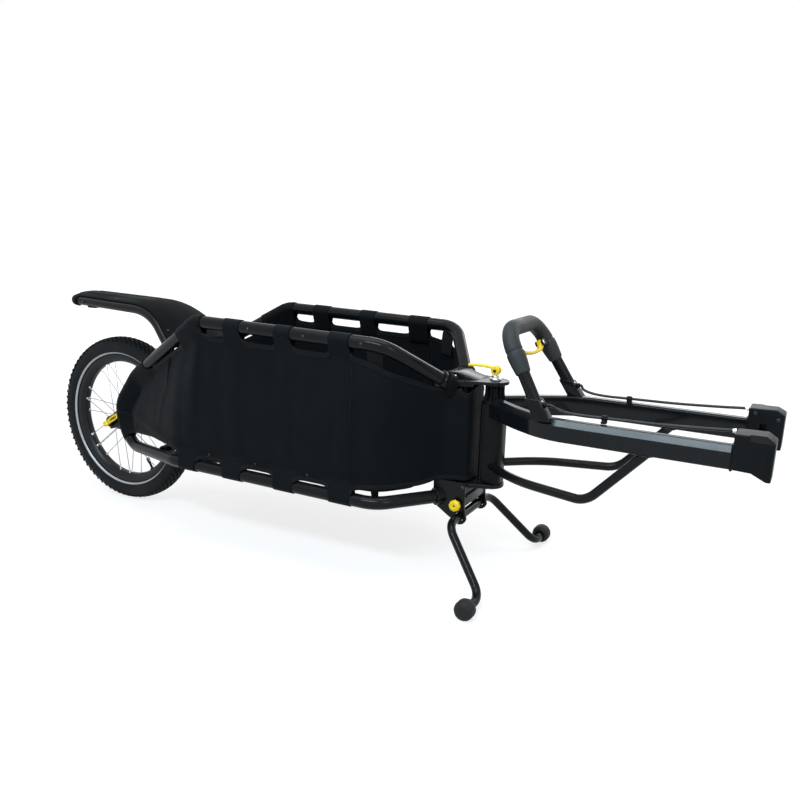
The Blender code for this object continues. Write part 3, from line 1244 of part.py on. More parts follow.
def bag_walls():
    """Both side walls and the nose as one sheet, laced inside the side frames."""
    path = loop_path(1)
    split = min(range(len(path)), key=lambda index: path[index].x)
    upper, lower = path[:split + 1], path[split:]
    hem = FRAME_TUBE_RADIUS + 0.004
    rear = path[split].x + 0.024
    nose = NOSE_X - 0.030
    stations = list(rear + (0.40 - rear) * (1 - np.cos(np.linspace(0, math.pi / 2, 8))))
    stations += list(np.linspace(0.46, nose - 0.09, 4)) + list(np.linspace(nose - 0.06, nose, 4))
    deep = [hem + (BAG_HEM - hem) * min(1, max(0, (x - 0.20) / 0.2)) for x in stations]
    top = edge_line(upper, stations, [-depth for depth in deep])
    bottom = edge_line(lower, stations, [hem] * len(stations))
    columns = []
    for x, (wide_high, high), (wide_low, low) in zip(stations, top, bottom):
        if x > nose - 0.07:
            low = max(low, BAG_FLOOR + 0.020)
            high = min(high, UPPER_NOSE_HEIGHT - 0.024 + 0.5 * (nose - x))
        columns.append((float(x), wide_low, low, wide_high, high))
    tip = NOSE_HALF_WIDTH + 0.004
    level = UPPER_NOSE_HEIGHT - 0.024
    for x, wide in ((NOSE_X - 0.004, tip + 0.010), (NOSE_X + 0.020, tip), (BAG_NOSE - 0.006, tip - 0.001),
                    (BAG_NOSE, tip - 0.008)):
        columns.append((x, wide, BAG_FLOOR + 0.020, wide, level))
    work = bmesh.new()
    sheet = []
    mirrored = [(x, -a, b, -c, d) for x, a, b, c, d in columns]
    for x, wide_low, low, wide_high, high in columns + mirrored[::-1]:
        line = []
        for share in (0.0, 0.5, 1.0):
            line.append(work.verts.new((x, wide_low + (wide_high - wide_low) * share,
                                        low + (high - low) * share)))
        sheet.append(line)
    for first, second in zip(sheet, sheet[1:]):
        for index in range(len(first) - 1):
            work.faces.new((first[index], second[index], second[index + 1], first[index + 1]))
    walls = from_bmesh("cargo_bag", work)
    modifier(walls, "SOLIDIFY", "cloth", thickness=BAG_WALL, offset=0.0)
    return walls, columns


def cargo_bag():
    """Open-topped bag: side walls, floor and the wall in front of the wheel."""
    walls, columns = bag_walls()
    run = [column[0] for column in columns]
    wide_low, low, wide_high, high = (float(np.interp(BAG_REAR, run, [column[index] for column in columns]))
                                      for index in (1, 2, 3, 4))
    edge = [(BAG_REAR, wide_low)]
    edge += [(column[0], column[1]) for column in columns if BAG_REAR < column[0] < NOSE_X - 0.020]
    outline = edge + [(x, -y) for x, y in edge[::-1]]
    floor = plate("bag_floor", outline, 0.003, (0, 0, BAG_FLOOR + 0.0035))
    low = BAG_FLOOR + 0.0025
    outline = [(wide_low - 0.0003, low), (wide_high - 0.0003, high - 0.004),
               (-wide_high + 0.0003, high - 0.004), (-wide_low + 0.0003, low)]
    back = plate("bag_back", outline, 0.003)
    back.data.transform(Matrix(((0, 0, 1, BAG_REAR + 0.0015), (1, 0, 0, 0), (0, 1, 0, 0), (0, 0, 0, 1))))
    hang(add(join(walls, floor, back), CLOTH), CHASSIS)


side_frames()
floor_tubes()
upper_head_bracket()
lower_head_bracket()
rack_hoop()
rack_deck()
tyre()
inner_tube()
rim()
valve()
laced_hub()
bearings_and_axle()
swing_arms()
springs()
spring_seats()
swing_pivot()
wheel_quick_release()
steering_post()
head_collar()
head_pin_and_lever()
POST_CLEARANCE = tow_arms()
stays(POST_CLEARANCE)
hitch_blocks()
handle()
trigger()
cables()
stand()
stand_release()
cargo_bag()

for helper in list(CUTTERS.objects):
    hang(helper, CHASSIS)
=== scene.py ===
"""Looks of a single-wheel bicycle cargo trailer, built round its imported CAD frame.

Pieces are drawn level with the wheel's axle at the origin, metres, +X towards the bicycle and
+Z up, and FIT then tips each one onto its stand, where the frame holds it.
"""

import json
import math
from collections import namedtuple

import bmesh
import bpy
import numpy as np
from mathutils import Matrix, Vector, noise

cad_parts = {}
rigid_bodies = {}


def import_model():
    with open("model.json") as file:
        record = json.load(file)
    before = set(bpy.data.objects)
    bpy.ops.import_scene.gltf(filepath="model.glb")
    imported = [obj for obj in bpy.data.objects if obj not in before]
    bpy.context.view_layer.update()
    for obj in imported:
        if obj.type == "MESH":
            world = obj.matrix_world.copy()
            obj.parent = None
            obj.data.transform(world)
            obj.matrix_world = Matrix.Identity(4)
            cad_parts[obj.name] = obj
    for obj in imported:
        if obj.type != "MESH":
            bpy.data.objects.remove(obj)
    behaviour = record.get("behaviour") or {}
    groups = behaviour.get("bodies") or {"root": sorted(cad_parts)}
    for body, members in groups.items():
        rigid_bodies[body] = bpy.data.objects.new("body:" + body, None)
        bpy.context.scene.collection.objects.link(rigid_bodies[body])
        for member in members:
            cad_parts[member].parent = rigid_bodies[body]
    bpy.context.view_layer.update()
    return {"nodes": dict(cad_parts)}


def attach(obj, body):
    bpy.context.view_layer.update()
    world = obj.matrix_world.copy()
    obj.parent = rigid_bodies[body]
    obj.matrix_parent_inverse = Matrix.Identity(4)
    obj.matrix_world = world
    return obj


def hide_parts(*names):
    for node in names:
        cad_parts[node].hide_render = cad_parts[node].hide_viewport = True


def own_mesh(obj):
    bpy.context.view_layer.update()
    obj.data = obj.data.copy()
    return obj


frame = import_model()

# Studio: a pale seamless floor under broad soft boxes, and the camera at the picture's view.
# The floor and the surround show white to the camera and keep the trailer's own shadow.


def put(tree, kind, settings=None, **inputs):
    """Adds a node, sets its properties, and sets or links its inputs by name."""
    made = tree.nodes.new(kind)
    for key, value in (settings or {}).items():
        setattr(made, key, value)
    for key, value in inputs.items():
        label = key.replace("_", " ")
        socket = made.inputs[int(key[1:])] if key[1:].isdigit() else made.inputs[label]
        if isinstance(value, bpy.types.NodeSocket):
            tree.links.new(value, socket)
        else:
            socket.default_value = value
    return made


def bare_tree(owner):
    owner.use_nodes = True
    owner.node_tree.nodes.clear()
    return owner.node_tree


def reckoned(tree, operation, *values, clamp=False):
    """The result of a Math node, each of whose values is a number or a socket."""
    inputs = {f"i{index}": value for index, value in enumerate(values)}
    return put(tree, "ShaderNodeMath", {"operation": operation, "use_clamp": clamp},
               **inputs).outputs[0]


def tinted(tree, mask, *colours):
    """Two colours, each (red, green, blue) or a socket, mixed by a mask."""
    under, over = (colour if isinstance(colour, bpy.types.NodeSocket) else (*colour, 1)
                   for colour in colours)
    return put(tree, "ShaderNodeMix", {"data_type": "RGBA"}, i0=mask, i6=under, i7=over).outputs[2]


def seen_directly(tree):
    """1 for rays from the camera, a mirror or glass, 0 for the rays that light things."""
    path = put(tree, "ShaderNodeLightPath").outputs
    first = reckoned(tree, "MAXIMUM", path["Is Camera Ray"], path["Is Glossy Ray"])
    return reckoned(tree, "MAXIMUM", first, path["Is Transmission Ray"])


surround = bpy.data.worlds.new("studio_surround")
bpy.context.scene.world = surround
tree = bare_tree(surround)
level = put(tree, "ShaderNodeMapRange", i0=seen_directly(tree), i3=0.42, i4=1.0)
sky = put(tree, "ShaderNodeBackground", Color=(1.0, 1.0, 1.0, 1.0), Strength=level.outputs[0])
tree.links.new(sky.outputs[0], put(tree, "ShaderNodeOutputWorld").inputs[0])

floor_finish = bpy.data.materials.new("pale_studio_floor")
tree = bare_tree(floor_finish)
place = put(tree, "ShaderNodeTexCoord").outputs["Object"]
reach = put(tree, "ShaderNodeVectorMath", {"operation": "LENGTH"}, i0=place)
far = put(tree, "ShaderNodeMapRange", {"interpolation_type": "SMOOTHSTEP"},
          i0=reach.outputs["Value"], i1=1.0, i2=3.0, i3=0.74, i4=1.0)
glow = reckoned(tree, "MULTIPLY", seen_directly(tree), far.outputs[0])
fleck = put(tree, "ShaderNodeTexNoise", Scale=3.0, Detail=2.0)
tint = tinted(tree, fleck.outputs["Fac"], (0.31, 0.31, 0.312), (0.325, 0.325, 0.325))
body = put(tree, "ShaderNodeBsdfPrincipled", Base_Color=tint, Roughness=0.9,
           Specular_IOR_Level=0.1, Emission_Color=(1, 1, 1, 1), Emission_Strength=glow)
tree.links.new(body.outputs[0], put(tree, "ShaderNodeOutputMaterial").inputs[0])

work = bmesh.new()
bmesh.ops.create_grid(work, x_segments=8, y_segments=8, size=14.0)
mesh = bpy.data.meshes.new("studio_floor")
work.to_mesh(mesh)
work.free()
studio_floor = bpy.data.objects.new("studio_floor", mesh)
mesh.materials.append(floor_finish)
bpy.context.scene.collection.objects.link(studio_floor)

NEUTRAL, COOL = (0.96, 0.98, 1.0), (0.72, 0.89, 1.0)
for name, place, target, size, power, tint in (
        ("soft_box_overhead", (0.1, -0.3, 2.6), (0, 0, 0.2), (2.4, 1.0), 32, NEUTRAL),
        ("strip_in_front", (0.2, -1.65, 1.68), (0.2, -0.1, 0.33), (1.6, 0.28), 36, COOL),
        ("soft_box_right", (2.6, -1.4, 1.5), (0.3, 0, 0.25), (0.8, 1.4), 14, NEUTRAL),
        ("strip_behind", (0.2, 2.4, 1.4), (0, 0, 0.3), (3.0, 0.5), 20, NEUTRAL)):
    lamp = bpy.data.lights.new(name, "AREA")
    lamp.shape = "RECTANGLE"
    lamp.size, lamp.size_y = size
    lamp.energy = power
    lamp.color = tint
    holder = bpy.data.objects.new(name, lamp)
    holder.location = place
    holder.rotation_euler = (Vector(target) - Vector(place)).to_track_quat("-Z", "Y").to_euler()
    bpy.context.scene.collection.objects.link(holder)

camera = bpy.data.objects.new("camera", bpy.data.cameras.new("camera"))
camera.data.lens = 36.24
camera.data.sensor_width = 36.0
camera.location = (0.880734, -1.3686, 0.6598)
camera.rotation_euler = (math.radians(90 - 12.217), 0.0, math.radians(28.549))
bpy.context.scene.collection.objects.link(camera)
bpy.context.scene.camera = camera
bpy.context.scene.view_settings.view_transform = "Standard"

# Side frames: one 25 mm aluminium tube bent into a loop on each side, powder coated satin black.
# Two thinner cross tubes are coped to the bottom rails and welded all round.

TYRE_RADIUS = 0.200
AXLE_X = -0.621766
TILT = math.radians(1.74)
FIT = Matrix.Translation((AXLE_X, 0.0, TYRE_RADIUS)) @ Matrix.Rotation(TILT, 4, "Y")
SIDES = {"right": -1, "left": 1}
NOSE_X, NOSE_HALF, WAIST_HALF, HEEL_HALF = 0.881, 0.035, 0.155, 0.075
BOTTOM_LEVEL = -0.017
FRAME_TUBE_RADIUS, CROSS_TUBE_RADIUS = 0.0127, 0.0095
DUST_COLOUR = (0.058, 0.060, 0.060)


def shader_group(name, inputs, outputs):
    """An empty shader group; inputs are (name, default), None for a vector, and outputs names."""
    made = bpy.data.node_groups.new(name, "ShaderNodeTree")
    for label, value in inputs:
        kind = "NodeSocketVector" if value is None else "NodeSocketFloat"
        socket = made.interface.new_socket(label, in_out="INPUT", socket_type=kind)
        if value is not None:
            socket.default_value = value
    for label in outputs:
        made.interface.new_socket(label, in_out="OUTPUT", socket_type="NodeSocketFloat")
    return made, made.nodes.new("NodeGroupInput"), made.nodes.new("NodeGroupOutput")


def moulded_grain():
    """Fine stipple over slow unevenness: Height for a bump, Shade for colour and gloss."""
    group, given, out = shader_group("moulded grain",
                                     [("Vector", None), ("Scale", 900.0), ("Stipple", 0.6)],
                                     ["Height", "Shade"])
    fine = put(group, "ShaderNodeTexNoise", Vector=given.outputs["Vector"],
               Scale=given.outputs["Scale"], Detail=2.0, Roughness=0.6)
    slow = put(group, "ShaderNodeTexNoise", Vector=given.outputs["Vector"], Scale=14.0, Detail=4.0)
    mixed = put(group, "ShaderNodeMix", i0=given.outputs["Stipple"], i2=slow.outputs["Fac"],
                i3=fine.outputs["Fac"])
    group.links.new(mixed.outputs[0], out.inputs["Height"])
    group.links.new(slow.outputs["Fac"], out.inputs["Shade"])
    return group


def edge_wear():
    """Mask of rubbed outer edges, broken up by noise."""
    group, given, out = shader_group("edge wear", [("Vector", None), ("Amount", 0.3)], ["Mask"])
    shape = put(group, "ShaderNodeNewGeometry")
    edge = put(group, "ShaderNodeMapRange", i0=shape.outputs["Pointiness"], i1=0.53, i2=0.62)
    patchy = put(group, "ShaderNodeTexNoise", Vector=given.outputs["Vector"], Scale=60.0,
                 Detail=5.0, Roughness=0.7)
    gate = put(group, "ShaderNodeMapRange", i0=patchy.outputs["Fac"], i1=0.45, i2=0.7)
    rubbed = reckoned(group, "MULTIPLY", edge.outputs[0], gate.outputs[0])
    mask = reckoned(group, "MULTIPLY", rubbed, given.outputs["Amount"], clamp=True)
    group.links.new(mask, out.inputs["Mask"])
    return group


def settled_dust():
    """Mask of pale dust, heavier on faces that look up."""
    group, given, out = shader_group("settled dust", [("Vector", None), ("Amount", 0.2)], ["Mask"])
    shape = put(group, "ShaderNodeNewGeometry")
    normal = put(group, "ShaderNodeSeparateXYZ", Vector=shape.outputs["Normal"])
    up = put(group, "ShaderNodeMapRange", i0=normal.outputs["Z"], i1=-0.3, i2=1.0, i3=0.15, i4=1.0)
    cloud = put(group, "ShaderNodeTexNoise", Vector=given.outputs["Vector"], Scale=22.0,
                Detail=6.0, Roughness=0.65)
    spots = put(group, "ShaderNodeMapRange", i0=cloud.outputs["Fac"], i1=0.35, i2=0.85)
    lying = reckoned(group, "MULTIPLY", up.outputs[0], spots.outputs[0])
    mask = reckoned(group, "MULTIPLY", lying, given.outputs["Amount"], clamp=True)
    group.links.new(mask, out.inputs["Mask"])
    return group


GRAIN, WEAR, DUST = moulded_grain(), edge_wear(), settled_dust()


def hard_finish(name, colour, gloss, scale=900.0, stipple=0.6, bump=0.05, wear=0.25, dust=0.03,
                worn=(0.06, 0.06, 0.065), metallic=0.0, coat=0.0, specular=0.18):
    """A painted, moulded or metal finish; gloss is its (least, most) roughness."""
    made = bpy.data.materials.new(name)
    tree = bare_tree(made)
    where = put(tree, "ShaderNodeTexCoord").outputs["Object"]
    grain = put(tree, "ShaderNodeGroup", {"node_tree": GRAIN}, Vector=where, Scale=scale,
                Stipple=stipple)
    rubbed = put(tree, "ShaderNodeGroup", {"node_tree": WEAR}, Vector=where, Amount=wear)
    dusty = put(tree, "ShaderNodeGroup", {"node_tree": DUST}, Vector=where, Amount=dust)
    pale = tuple(min(1.0, 1.35 * part + 0.0006) for part in colour)
    base = tinted(tree, grain.outputs["Shade"], colour, pale)
    base = tinted(tree, rubbed.outputs["Mask"], base, worn)
    base = tinted(tree, dusty.outputs["Mask"], base, DUST_COLOUR)
    rough = put(tree, "ShaderNodeMapRange", i0=grain.outputs["Shade"], i1=0.3, i2=0.7, i3=gloss[0],
                i4=gloss[1])
    rough = reckoned(tree, "MAXIMUM", rough.outputs[0], dusty.outputs["Mask"])
    relief = put(tree, "ShaderNodeBump", Strength=bump, Distance=0.0006,
                 Height=grain.outputs["Height"])
    shader = put(tree, "ShaderNodeBsdfPrincipled", Base_Color=base, Roughness=rough,
                 Normal=relief.outputs[0], Metallic=metallic, Coat_Weight=coat,
                 Coat_Roughness=0.16, Specular_IOR_Level=specular)
    tree.links.new(shader.outputs[0], put(tree, "ShaderNodeOutputMaterial").inputs[0])
    made.diffuse_color = (*colour, 1)
    return made


powder_coat = hard_finish("satin_black_powder_coat", (0.0031, 0.0041, 0.0049), (0.19, 0.29),
                          scale=520.0, stipple=0.75, bump=0.07, wear=0.12, coat=0.08,
                          specular=0.10)
weld_paint = hard_finish("painted_weld_bead", (0.0048, 0.0058, 0.0067), (0.26, 0.38), scale=300.0,
                         bump=0.25, wear=0.2, coat=0.08, specular=0.13)


def rounded(corners, bends, step):
    """A polyline through the corners, each inner one an arc of its bend radius, step in degrees."""
    corners = [Vector(corner) for corner in corners]
    path = [corners[0]]
    for before, corner, after, radius in zip(corners, corners[1:], corners[2:], bends):
        backward, forward = (before - corner).normalized(), (after - corner).normalized()
        turn = math.pi - backward.angle(forward)
        reach = radius * math.tan(turn / 2)
        longest = 0.49 * min((before - corner).length, (after - corner).length)
        if reach > longest:
            radius, reach = radius * longest / reach, longest
        middle = corner + (backward + forward).normalized() * (radius / math.cos(turn / 2))
        start, end = corner + backward * reach - middle, corner + forward * reach - middle
        count = max(3, round(math.degrees(turn) / step))
        for index in range(count + 1):
            swing = turn * index / count
            path.append(middle + (start * math.sin(turn - swing) + end * math.sin(swing))
                        / math.sin(turn))
    return path + [corners[-1]]


def soft_shaded(mesh, degrees=38):
    mesh.shade_smooth()
    mesh.set_sharp_from_angle(angle=math.radians(degrees))
    return mesh


def closed_mesh(work, name, degrees=38):
    """The bmesh as a mesh with its doubles merged and its faces turned outwards."""
    bmesh.ops.remove_doubles(work, verts=work.verts, dist=1e-6)
    bmesh.ops.recalc_face_normals(work, faces=work.faces)
    mesh = bpy.data.meshes.new(name)
    work.to_mesh(mesh)
    work.free()
    return soft_shaded(mesh, degrees)


def fitted(name, shape, finish, body, slot, *nodes):
    """Hands a shape, drawn level, to its body, its finish and the CAD nodes it stands for."""
    mesh = closed_mesh(shape, name) if isinstance(shape, bmesh.types.BMesh) else shape
    mesh.transform(FIT)
    mesh.materials.clear()
    mesh.materials.append(finish)
    piece = bpy.data.objects.new(name, mesh)
    bpy.context.scene.collection.objects.link(piece)
    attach(piece, body)
    if nodes:
        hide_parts(*nodes)
    return piece


def add_mesh(work, points, faces):
    made = [work.verts.new(point) for point in points]
    for face in faces:
        work.faces.new([made[index] for index in face])


def add_rings(work, rings, closed=False):
    """A skin over rings of points, its ends capped unless the last ring meets the first."""
    count, sides = len(rings), len(rings[0])
    faces = []
    for ring in range(count if closed else count - 1):
        here, there = ring * sides, (ring + 1) % count * sides
        for side in range(sides):
            step = (side + 1) % sides
            faces.append((here + side, here + step, there + step, there + side))
    if not closed:
        faces += [tuple(reversed(range(sides))), tuple(range((count - 1) * sides, count * sides))]
    add_mesh(work, [point for ring in rings for point in ring], faces)


def add_sweep(work, path, radii, sides=24, closed=False):
    """A round bar along a path, its ends capped unless the path is closed."""
    path = [Vector(point) for point in path]
    count = len(path)
    if not hasattr(radii, "__len__"):
        radii = [radii] * count
    tangents = []
    for index in range(count):
        before = path[index - 1] if index or closed else path[0]
        after = path[(index + 1) % count] if index < count - 1 or closed else path[-1]
        tangents.append((after - before).normalized())
    across = tangents[0].orthogonal().normalized()
    rings = []
    for place, tangent, radius in zip(path, tangents, radii):
        across = (across - tangent * across.dot(tangent)).normalized()
        other = tangent.cross(across)
        turns = [2 * math.pi * side / sides for side in range(sides)]
        rings.append([place + across * (radius * math.cos(turn)) + other * (radius * math.sin(turn))
                      for turn in turns])
    add_rings(work, rings, closed)


def add_bead(work, line, radius, ripple):
    """A rippled weld bead round a closed line."""
    add_sweep(work, line, [radius + ripple * (index % 2) for index in range(len(line))], 8, closed=True)


def add_turned(work, profile, axis_point, axis, steps=32, closed=True):
    """A turned shape: profile points are (radius, distance along the axis)."""
    axis = Vector(axis).normalized()
    across = axis.orthogonal().normalized()
    other = axis.cross(across)
    points, rings = [], []
    for radius, along in profile:
        count = steps if radius > 1e-6 else 1
        rings.append(range(len(points), len(points) + count))
        for index in range(count):
            turn = 2 * math.pi * index / steps
            points.append(Vector(axis_point) + axis * along
                          + across * (radius * math.cos(turn)) + other * (radius * math.sin(turn)))
    faces = []
    pairs = list(zip(rings, rings[1:])) + ([(rings[-1], rings[0])] if closed else [])
    for first, second in pairs:
        for index in range(steps):
            step = (index + 1) % steps
            if len(first) == 1 and len(second) == 1:
                continue
            if len(first) == 1:
                faces.append((first[0], second[index], second[step]))
            elif len(second) == 1:
                faces.append((first[index], second[0], first[step]))
            else:
                faces.append((first[index], second[index], second[step], first[step]))
    add_mesh(work, points, faces)


def loop_corners(side):
    nose, waist, heel = side * NOSE_HALF, side * WAIST_HALF, side * HEEL_HALF
    return [(NOSE_X, nose, 0.198), (0.800, waist, 0.279), (0.370, waist, 0.285), (0.115, heel, 0.133),
            (0.058, heel, 0.055), (0.085, heel, -0.035), (0.300, waist, BOTTOM_LEVEL),
            (0.790, waist, BOTTOM_LEVEL), (NOSE_X, nose, BOTTOM_LEVEL)]


def loop_path(side, step=4.0):
    return rounded(loop_corners(side), [0.055, 0.055, 0.060, 0.060, 0.060, 0.055, 0.055], step)


def saddle(station, side):
    """The line where a cross tube meets a bottom rail, for its weld bead."""
    line = []
    for index in range(28):
        turn = 2 * math.pi * index / 28
        across = CROSS_TUBE_RADIUS * math.sin(turn)
        reach = WAIST_HALF - math.sqrt(FRAME_TUBE_RADIUS ** 2 - across ** 2)
        line.append((station + (CROSS_TUBE_RADIUS + 0.0006) * math.cos(turn),
                     side * (reach + 0.0004), BOTTOM_LEVEL + across))
    return line


for name, side in SIDES.items():
    work = bmesh.new()
    add_sweep(work, loop_path(side), FRAME_TUBE_RADIUS, 28)
    fitted(f"bent_side_frame_{name}", work, powder_coat, "frame", "frame_paint",
           f"side_frame_{name}")

beads = bmesh.new()
half = WAIST_HALF - 0.005
for name, station in (("rear", 0.365), ("front", NOSE_X - 0.181)):
    work = bmesh.new()
    add_sweep(work, [(station, y, BOTTOM_LEVEL) for y in np.linspace(-half, half, 5)],
              CROSS_TUBE_RADIUS)
    fitted(f"cross_tube_{name}", work, powder_coat, "frame", "frame_paint",
           f"floor_cross_tube_{name}")
    for side in (-1, 1):
        add_bead(beads, saddle(station, side), 0.0016, 0.0003)
fitted("cross_tube_welds", closed_mesh(beads, "welds", 60), weld_paint, "frame", "frame_paint")

# Head brackets: welded steel tongues, upper and lower, that take the ends of both side frames
# in short sockets. The lower one also carries two side plates for the stand.

HEAD_X = 0.953
STAND_X, STAND_Z = 0.914, -0.050
RELEASE = (STAND_X - 0.005, STAND_Z + 0.0245)
EAR_WALL, EAR_HALF_SPAN = 0.005, 0.050
COLLAR_TOP, POST_BOTTOM, TONGUE_GAP = 0.2035, 0.0145, 0.0003
UPPER_TONGUE, LOWER_TONGUE = 0.006, 0.008
UPRIGHT = Matrix.Rotation(math.pi / 2, 4, "X")

bright_zinc = hard_finish("bright_zinc_plate", (0.62, 0.63, 0.65), (0.18, 0.32), scale=700.0,
                          stipple=0.4, bump=0.04, wear=0.0, metallic=1.0)
dark_steel = hard_finish("blackened_steel", (0.030, 0.031, 0.033), (0.25, 0.38), wear=0.3,
                         metallic=0.8, worn=(0.3, 0.3, 0.31))


def add_slab(work, outline, thickness, bevel, turn=None, place=(0, 0, 0), holes=()):
    """A plate with rounded edges: outlines in its own XY plane, holes cut through it."""
    data = bpy.data.curves.new("outline", "CURVE")
    data.dimensions, data.fill_mode = "2D", "BOTH"
    for line in (outline, *holes):
        spline = data.splines.new("POLY")
        spline.points.add(len(line) - 1)
        spline.points.foreach_set("co", [part for x, y in line for part in (x, y, 0, 1)])
        spline.use_cyclic_u = True
    data.extrude = thickness / 2 - bevel
    data.bevel_depth, data.offset, data.bevel_resolution = bevel, -bevel, 2
    shape = bpy.data.objects.new("outline", data)
    bpy.context.scene.collection.objects.link(shape)
    bpy.context.view_layer.update()
    graph = bpy.context.evaluated_depsgraph_get()
    mesh = bpy.data.meshes.new_from_object(shape.evaluated_get(graph))
    mesh.transform(Matrix.Translation(place) @ (turn or Matrix.Identity(4)))
    work.from_mesh(mesh)
    for block in (shape, mesh, data):
        bpy.data.batch_remove([block])


def add_block(work, size, place, bevel=0.001, turn=None, segments=3):
    """A box with rounded edges."""
    block = bmesh.new()
    bmesh.ops.create_cube(block, size=1.0)
    bmesh.ops.scale(block, vec=size, verts=block.verts)
    bmesh.ops.bevel(block, geom=block.edges[:], offset=bevel, segments=segments, profile=0.5,
                    affect="EDGES")
    bmesh.ops.transform(block, matrix=Matrix.Translation(place) @ (turn or Matrix.Identity(4)),
                        verts=block.verts)
    mesh = bpy.data.meshes.new("block")
    block.to_mesh(mesh)
    block.free()
    work.from_mesh(mesh)
    bpy.data.meshes.remove(mesh)


def arc(centre, radius, start, end, steps):
    turns = np.radians(np.linspace(start, end, steps + 1))
    return [(centre[0] + radius * math.cos(a), centre[1] + radius * math.sin(a)) for a in turns]


def round_hole(centre, radius):
    return arc(centre, radius, 0, 345, 23)


def add_socket(work, corners, length, wall):
    """A sleeve with turned lips over the end of a tube."""
    end, inner = Vector(corners[0]), Vector(corners[1])
    radius = FRAME_TUBE_RADIUS + 0.0003
    outer = FRAME_TUBE_RADIUS + wall
    profile = [(0.0, -0.004), (outer - 0.0012, -0.004), (outer, -0.0028), (outer, length - 0.005),
               (outer + 0.0008, length - 0.004), (outer + 0.0008, length - 0.001),
               (outer - 0.0002, length), (radius, length), (radius, 0.001), (0.0, 0.001)]
    add_turned(work, profile, end, inner - end, 36, closed=False)


def socket_head(radius, height, sides=18):
    """A button head with a hexagon socket, looking along +Z from its seat at zero."""
    work = bmesh.new()
    hexagon = 0.42 * radius
    profile = [(0.0, 0.0), (radius, 0.0), (radius, 0.18 * height), (0.92 * radius, 0.55 * height),
               (0.70 * radius, 0.88 * height), (0.50 * radius, height)]
    add_turned(work, profile, (0, 0, 0), (0, 0, 1), sides, closed=False)
    rim = [vert for vert in work.verts if vert.co.z > 0.95 * height]
    rim.sort(key=lambda vert: math.atan2(vert.co.y, vert.co.x))
    wells = [[work.verts.new((hexagon * math.cos(a), hexagon * math.sin(a), z))
              for a in (2 * math.pi * index / sides for index in range(sides))]
             for z in (0.98 * height, 0.30 * height)]
    for ring in wells:
        for vert in ring:
            turn = math.atan2(vert.co.y, vert.co.x) % (math.pi / 3) - math.pi / 6
            reach = hexagon * 0.92 / math.cos(turn)
            vert.co.xy = vert.co.xy.normalized() * reach
        ring.sort(key=lambda vert: math.atan2(vert.co.y, vert.co.x))
    for first, second in ((rim, wells[0]), (wells[0], wells[1])):
        for index in range(sides):
            step = (index + 1) % sides
            work.faces.new((first[index], first[step], second[step], second[index]))
    work.faces.new(wells[1])
    mesh = closed_mesh(work, "screw_head", 35)
    head = bpy.data.objects.new("screw_head", mesh)
    bpy.context.scene.collection.objects.link(head)
    return head


def growing_tree(name, *inputs):
    """A geometry tree with named inputs, each (name, kind), and the sockets they come out of."""
    tree = bpy.data.node_groups.new(name, "GeometryNodeTree")
    for label, kind in (("Geometry", "Geometry"), *inputs, ("Finish", "Material")):
        tree.interface.new_socket(label, in_out="INPUT", socket_type="NodeSocket" + kind)
    tree.interface.new_socket("Geometry", in_out="OUTPUT", socket_type="NodeSocketGeometry")
    return tree, tree.nodes.new("NodeGroupInput").outputs


def painted(tree, given, copies):
    """Ends a tree: its copies are made real, given their finish and put out."""
    real = put(tree, "GeometryNodeRealizeInstances", i0=copies.outputs[0])
    coated = put(tree, "GeometryNodeSetMaterial", Geometry=real.outputs[0], Material=given["Finish"])
    tree.links.new(coated.outputs[0], tree.nodes.new("NodeGroupOutput").inputs[0])
    return tree


def screw_tree():
    """Puts a copy of the given head on every vertex, its axis along the vertex's facing."""
    tree, given = growing_tree("screws on points", ("Head", "Object"), ("Size", "Float"))
    points = put(tree, "GeometryNodeMeshToPoints", i0=given["Geometry"])
    head = put(tree, "GeometryNodeObjectInfo", i0=given["Head"])
    facing = put(tree, "GeometryNodeInputNamedAttribute", {"data_type": "FLOAT_VECTOR"}, i0="facing")
    turn = put(tree, "FunctionNodeAlignRotationToVector", {"axis": "Z"},
               Vector=facing.outputs["Attribute"])
    copies = put(tree, "GeometryNodeInstanceOnPoints", Points=points.outputs[0],
                 Instance=head.outputs["Geometry"], Rotation=turn.outputs[0], Scale=given["Size"])
    return painted(tree, given, copies)


def grown(piece, tree, **values):
    """Runs a node tree on a piece with its named inputs set and returns the plain mesh it makes."""
    modifier = piece.modifiers.new(tree.name, "NODES")
    modifier.node_group = tree
    for item in tree.interface.items_tree:
        if item.in_out == "INPUT" and item.name.replace(" ", "_") in values:
            modifier[item.identifier] = values[item.name.replace(" ", "_")]
    bpy.context.view_layer.update()
    graph = bpy.context.evaluated_depsgraph_get()
    mesh = bpy.data.meshes.new_from_object(piece.evaluated_get(graph))
    piece.modifiers.clear()
    bpy.data.objects.remove(piece)
    return mesh


SCREWS = screw_tree()


def screws(name, places, finish, body, slot, size=1.0):
    """One piece of screw heads: places are (point, direction it faces)."""
    mesh = bpy.data.meshes.new(name)
    mesh.from_pydata([point for point, _ in places], [], [])
    facing = mesh.attributes.new("facing", "FLOAT_VECTOR", "POINT")
    facing.data.foreach_set("vector", [part for _, way in places for part in way])
    holder = bpy.data.objects.new(name, mesh)
    bpy.context.scene.collection.objects.link(holder)
    head = socket_head(0.0042, 0.0026)
    made = grown(holder, SCREWS, Head=head, Size=size, Finish=finish)
    bpy.data.objects.remove(head)
    return fitted(name, soft_shaded(made, 35), finish, body, slot)


def tongue(half_width, back):
    eye = arc((HEAD_X, 0), 0.026, -75, 75, 28)
    return eye + [(NOSE_X + 0.006, half_width), (back, half_width), (back, -half_width),
                  (NOSE_X + 0.006, -half_width)]


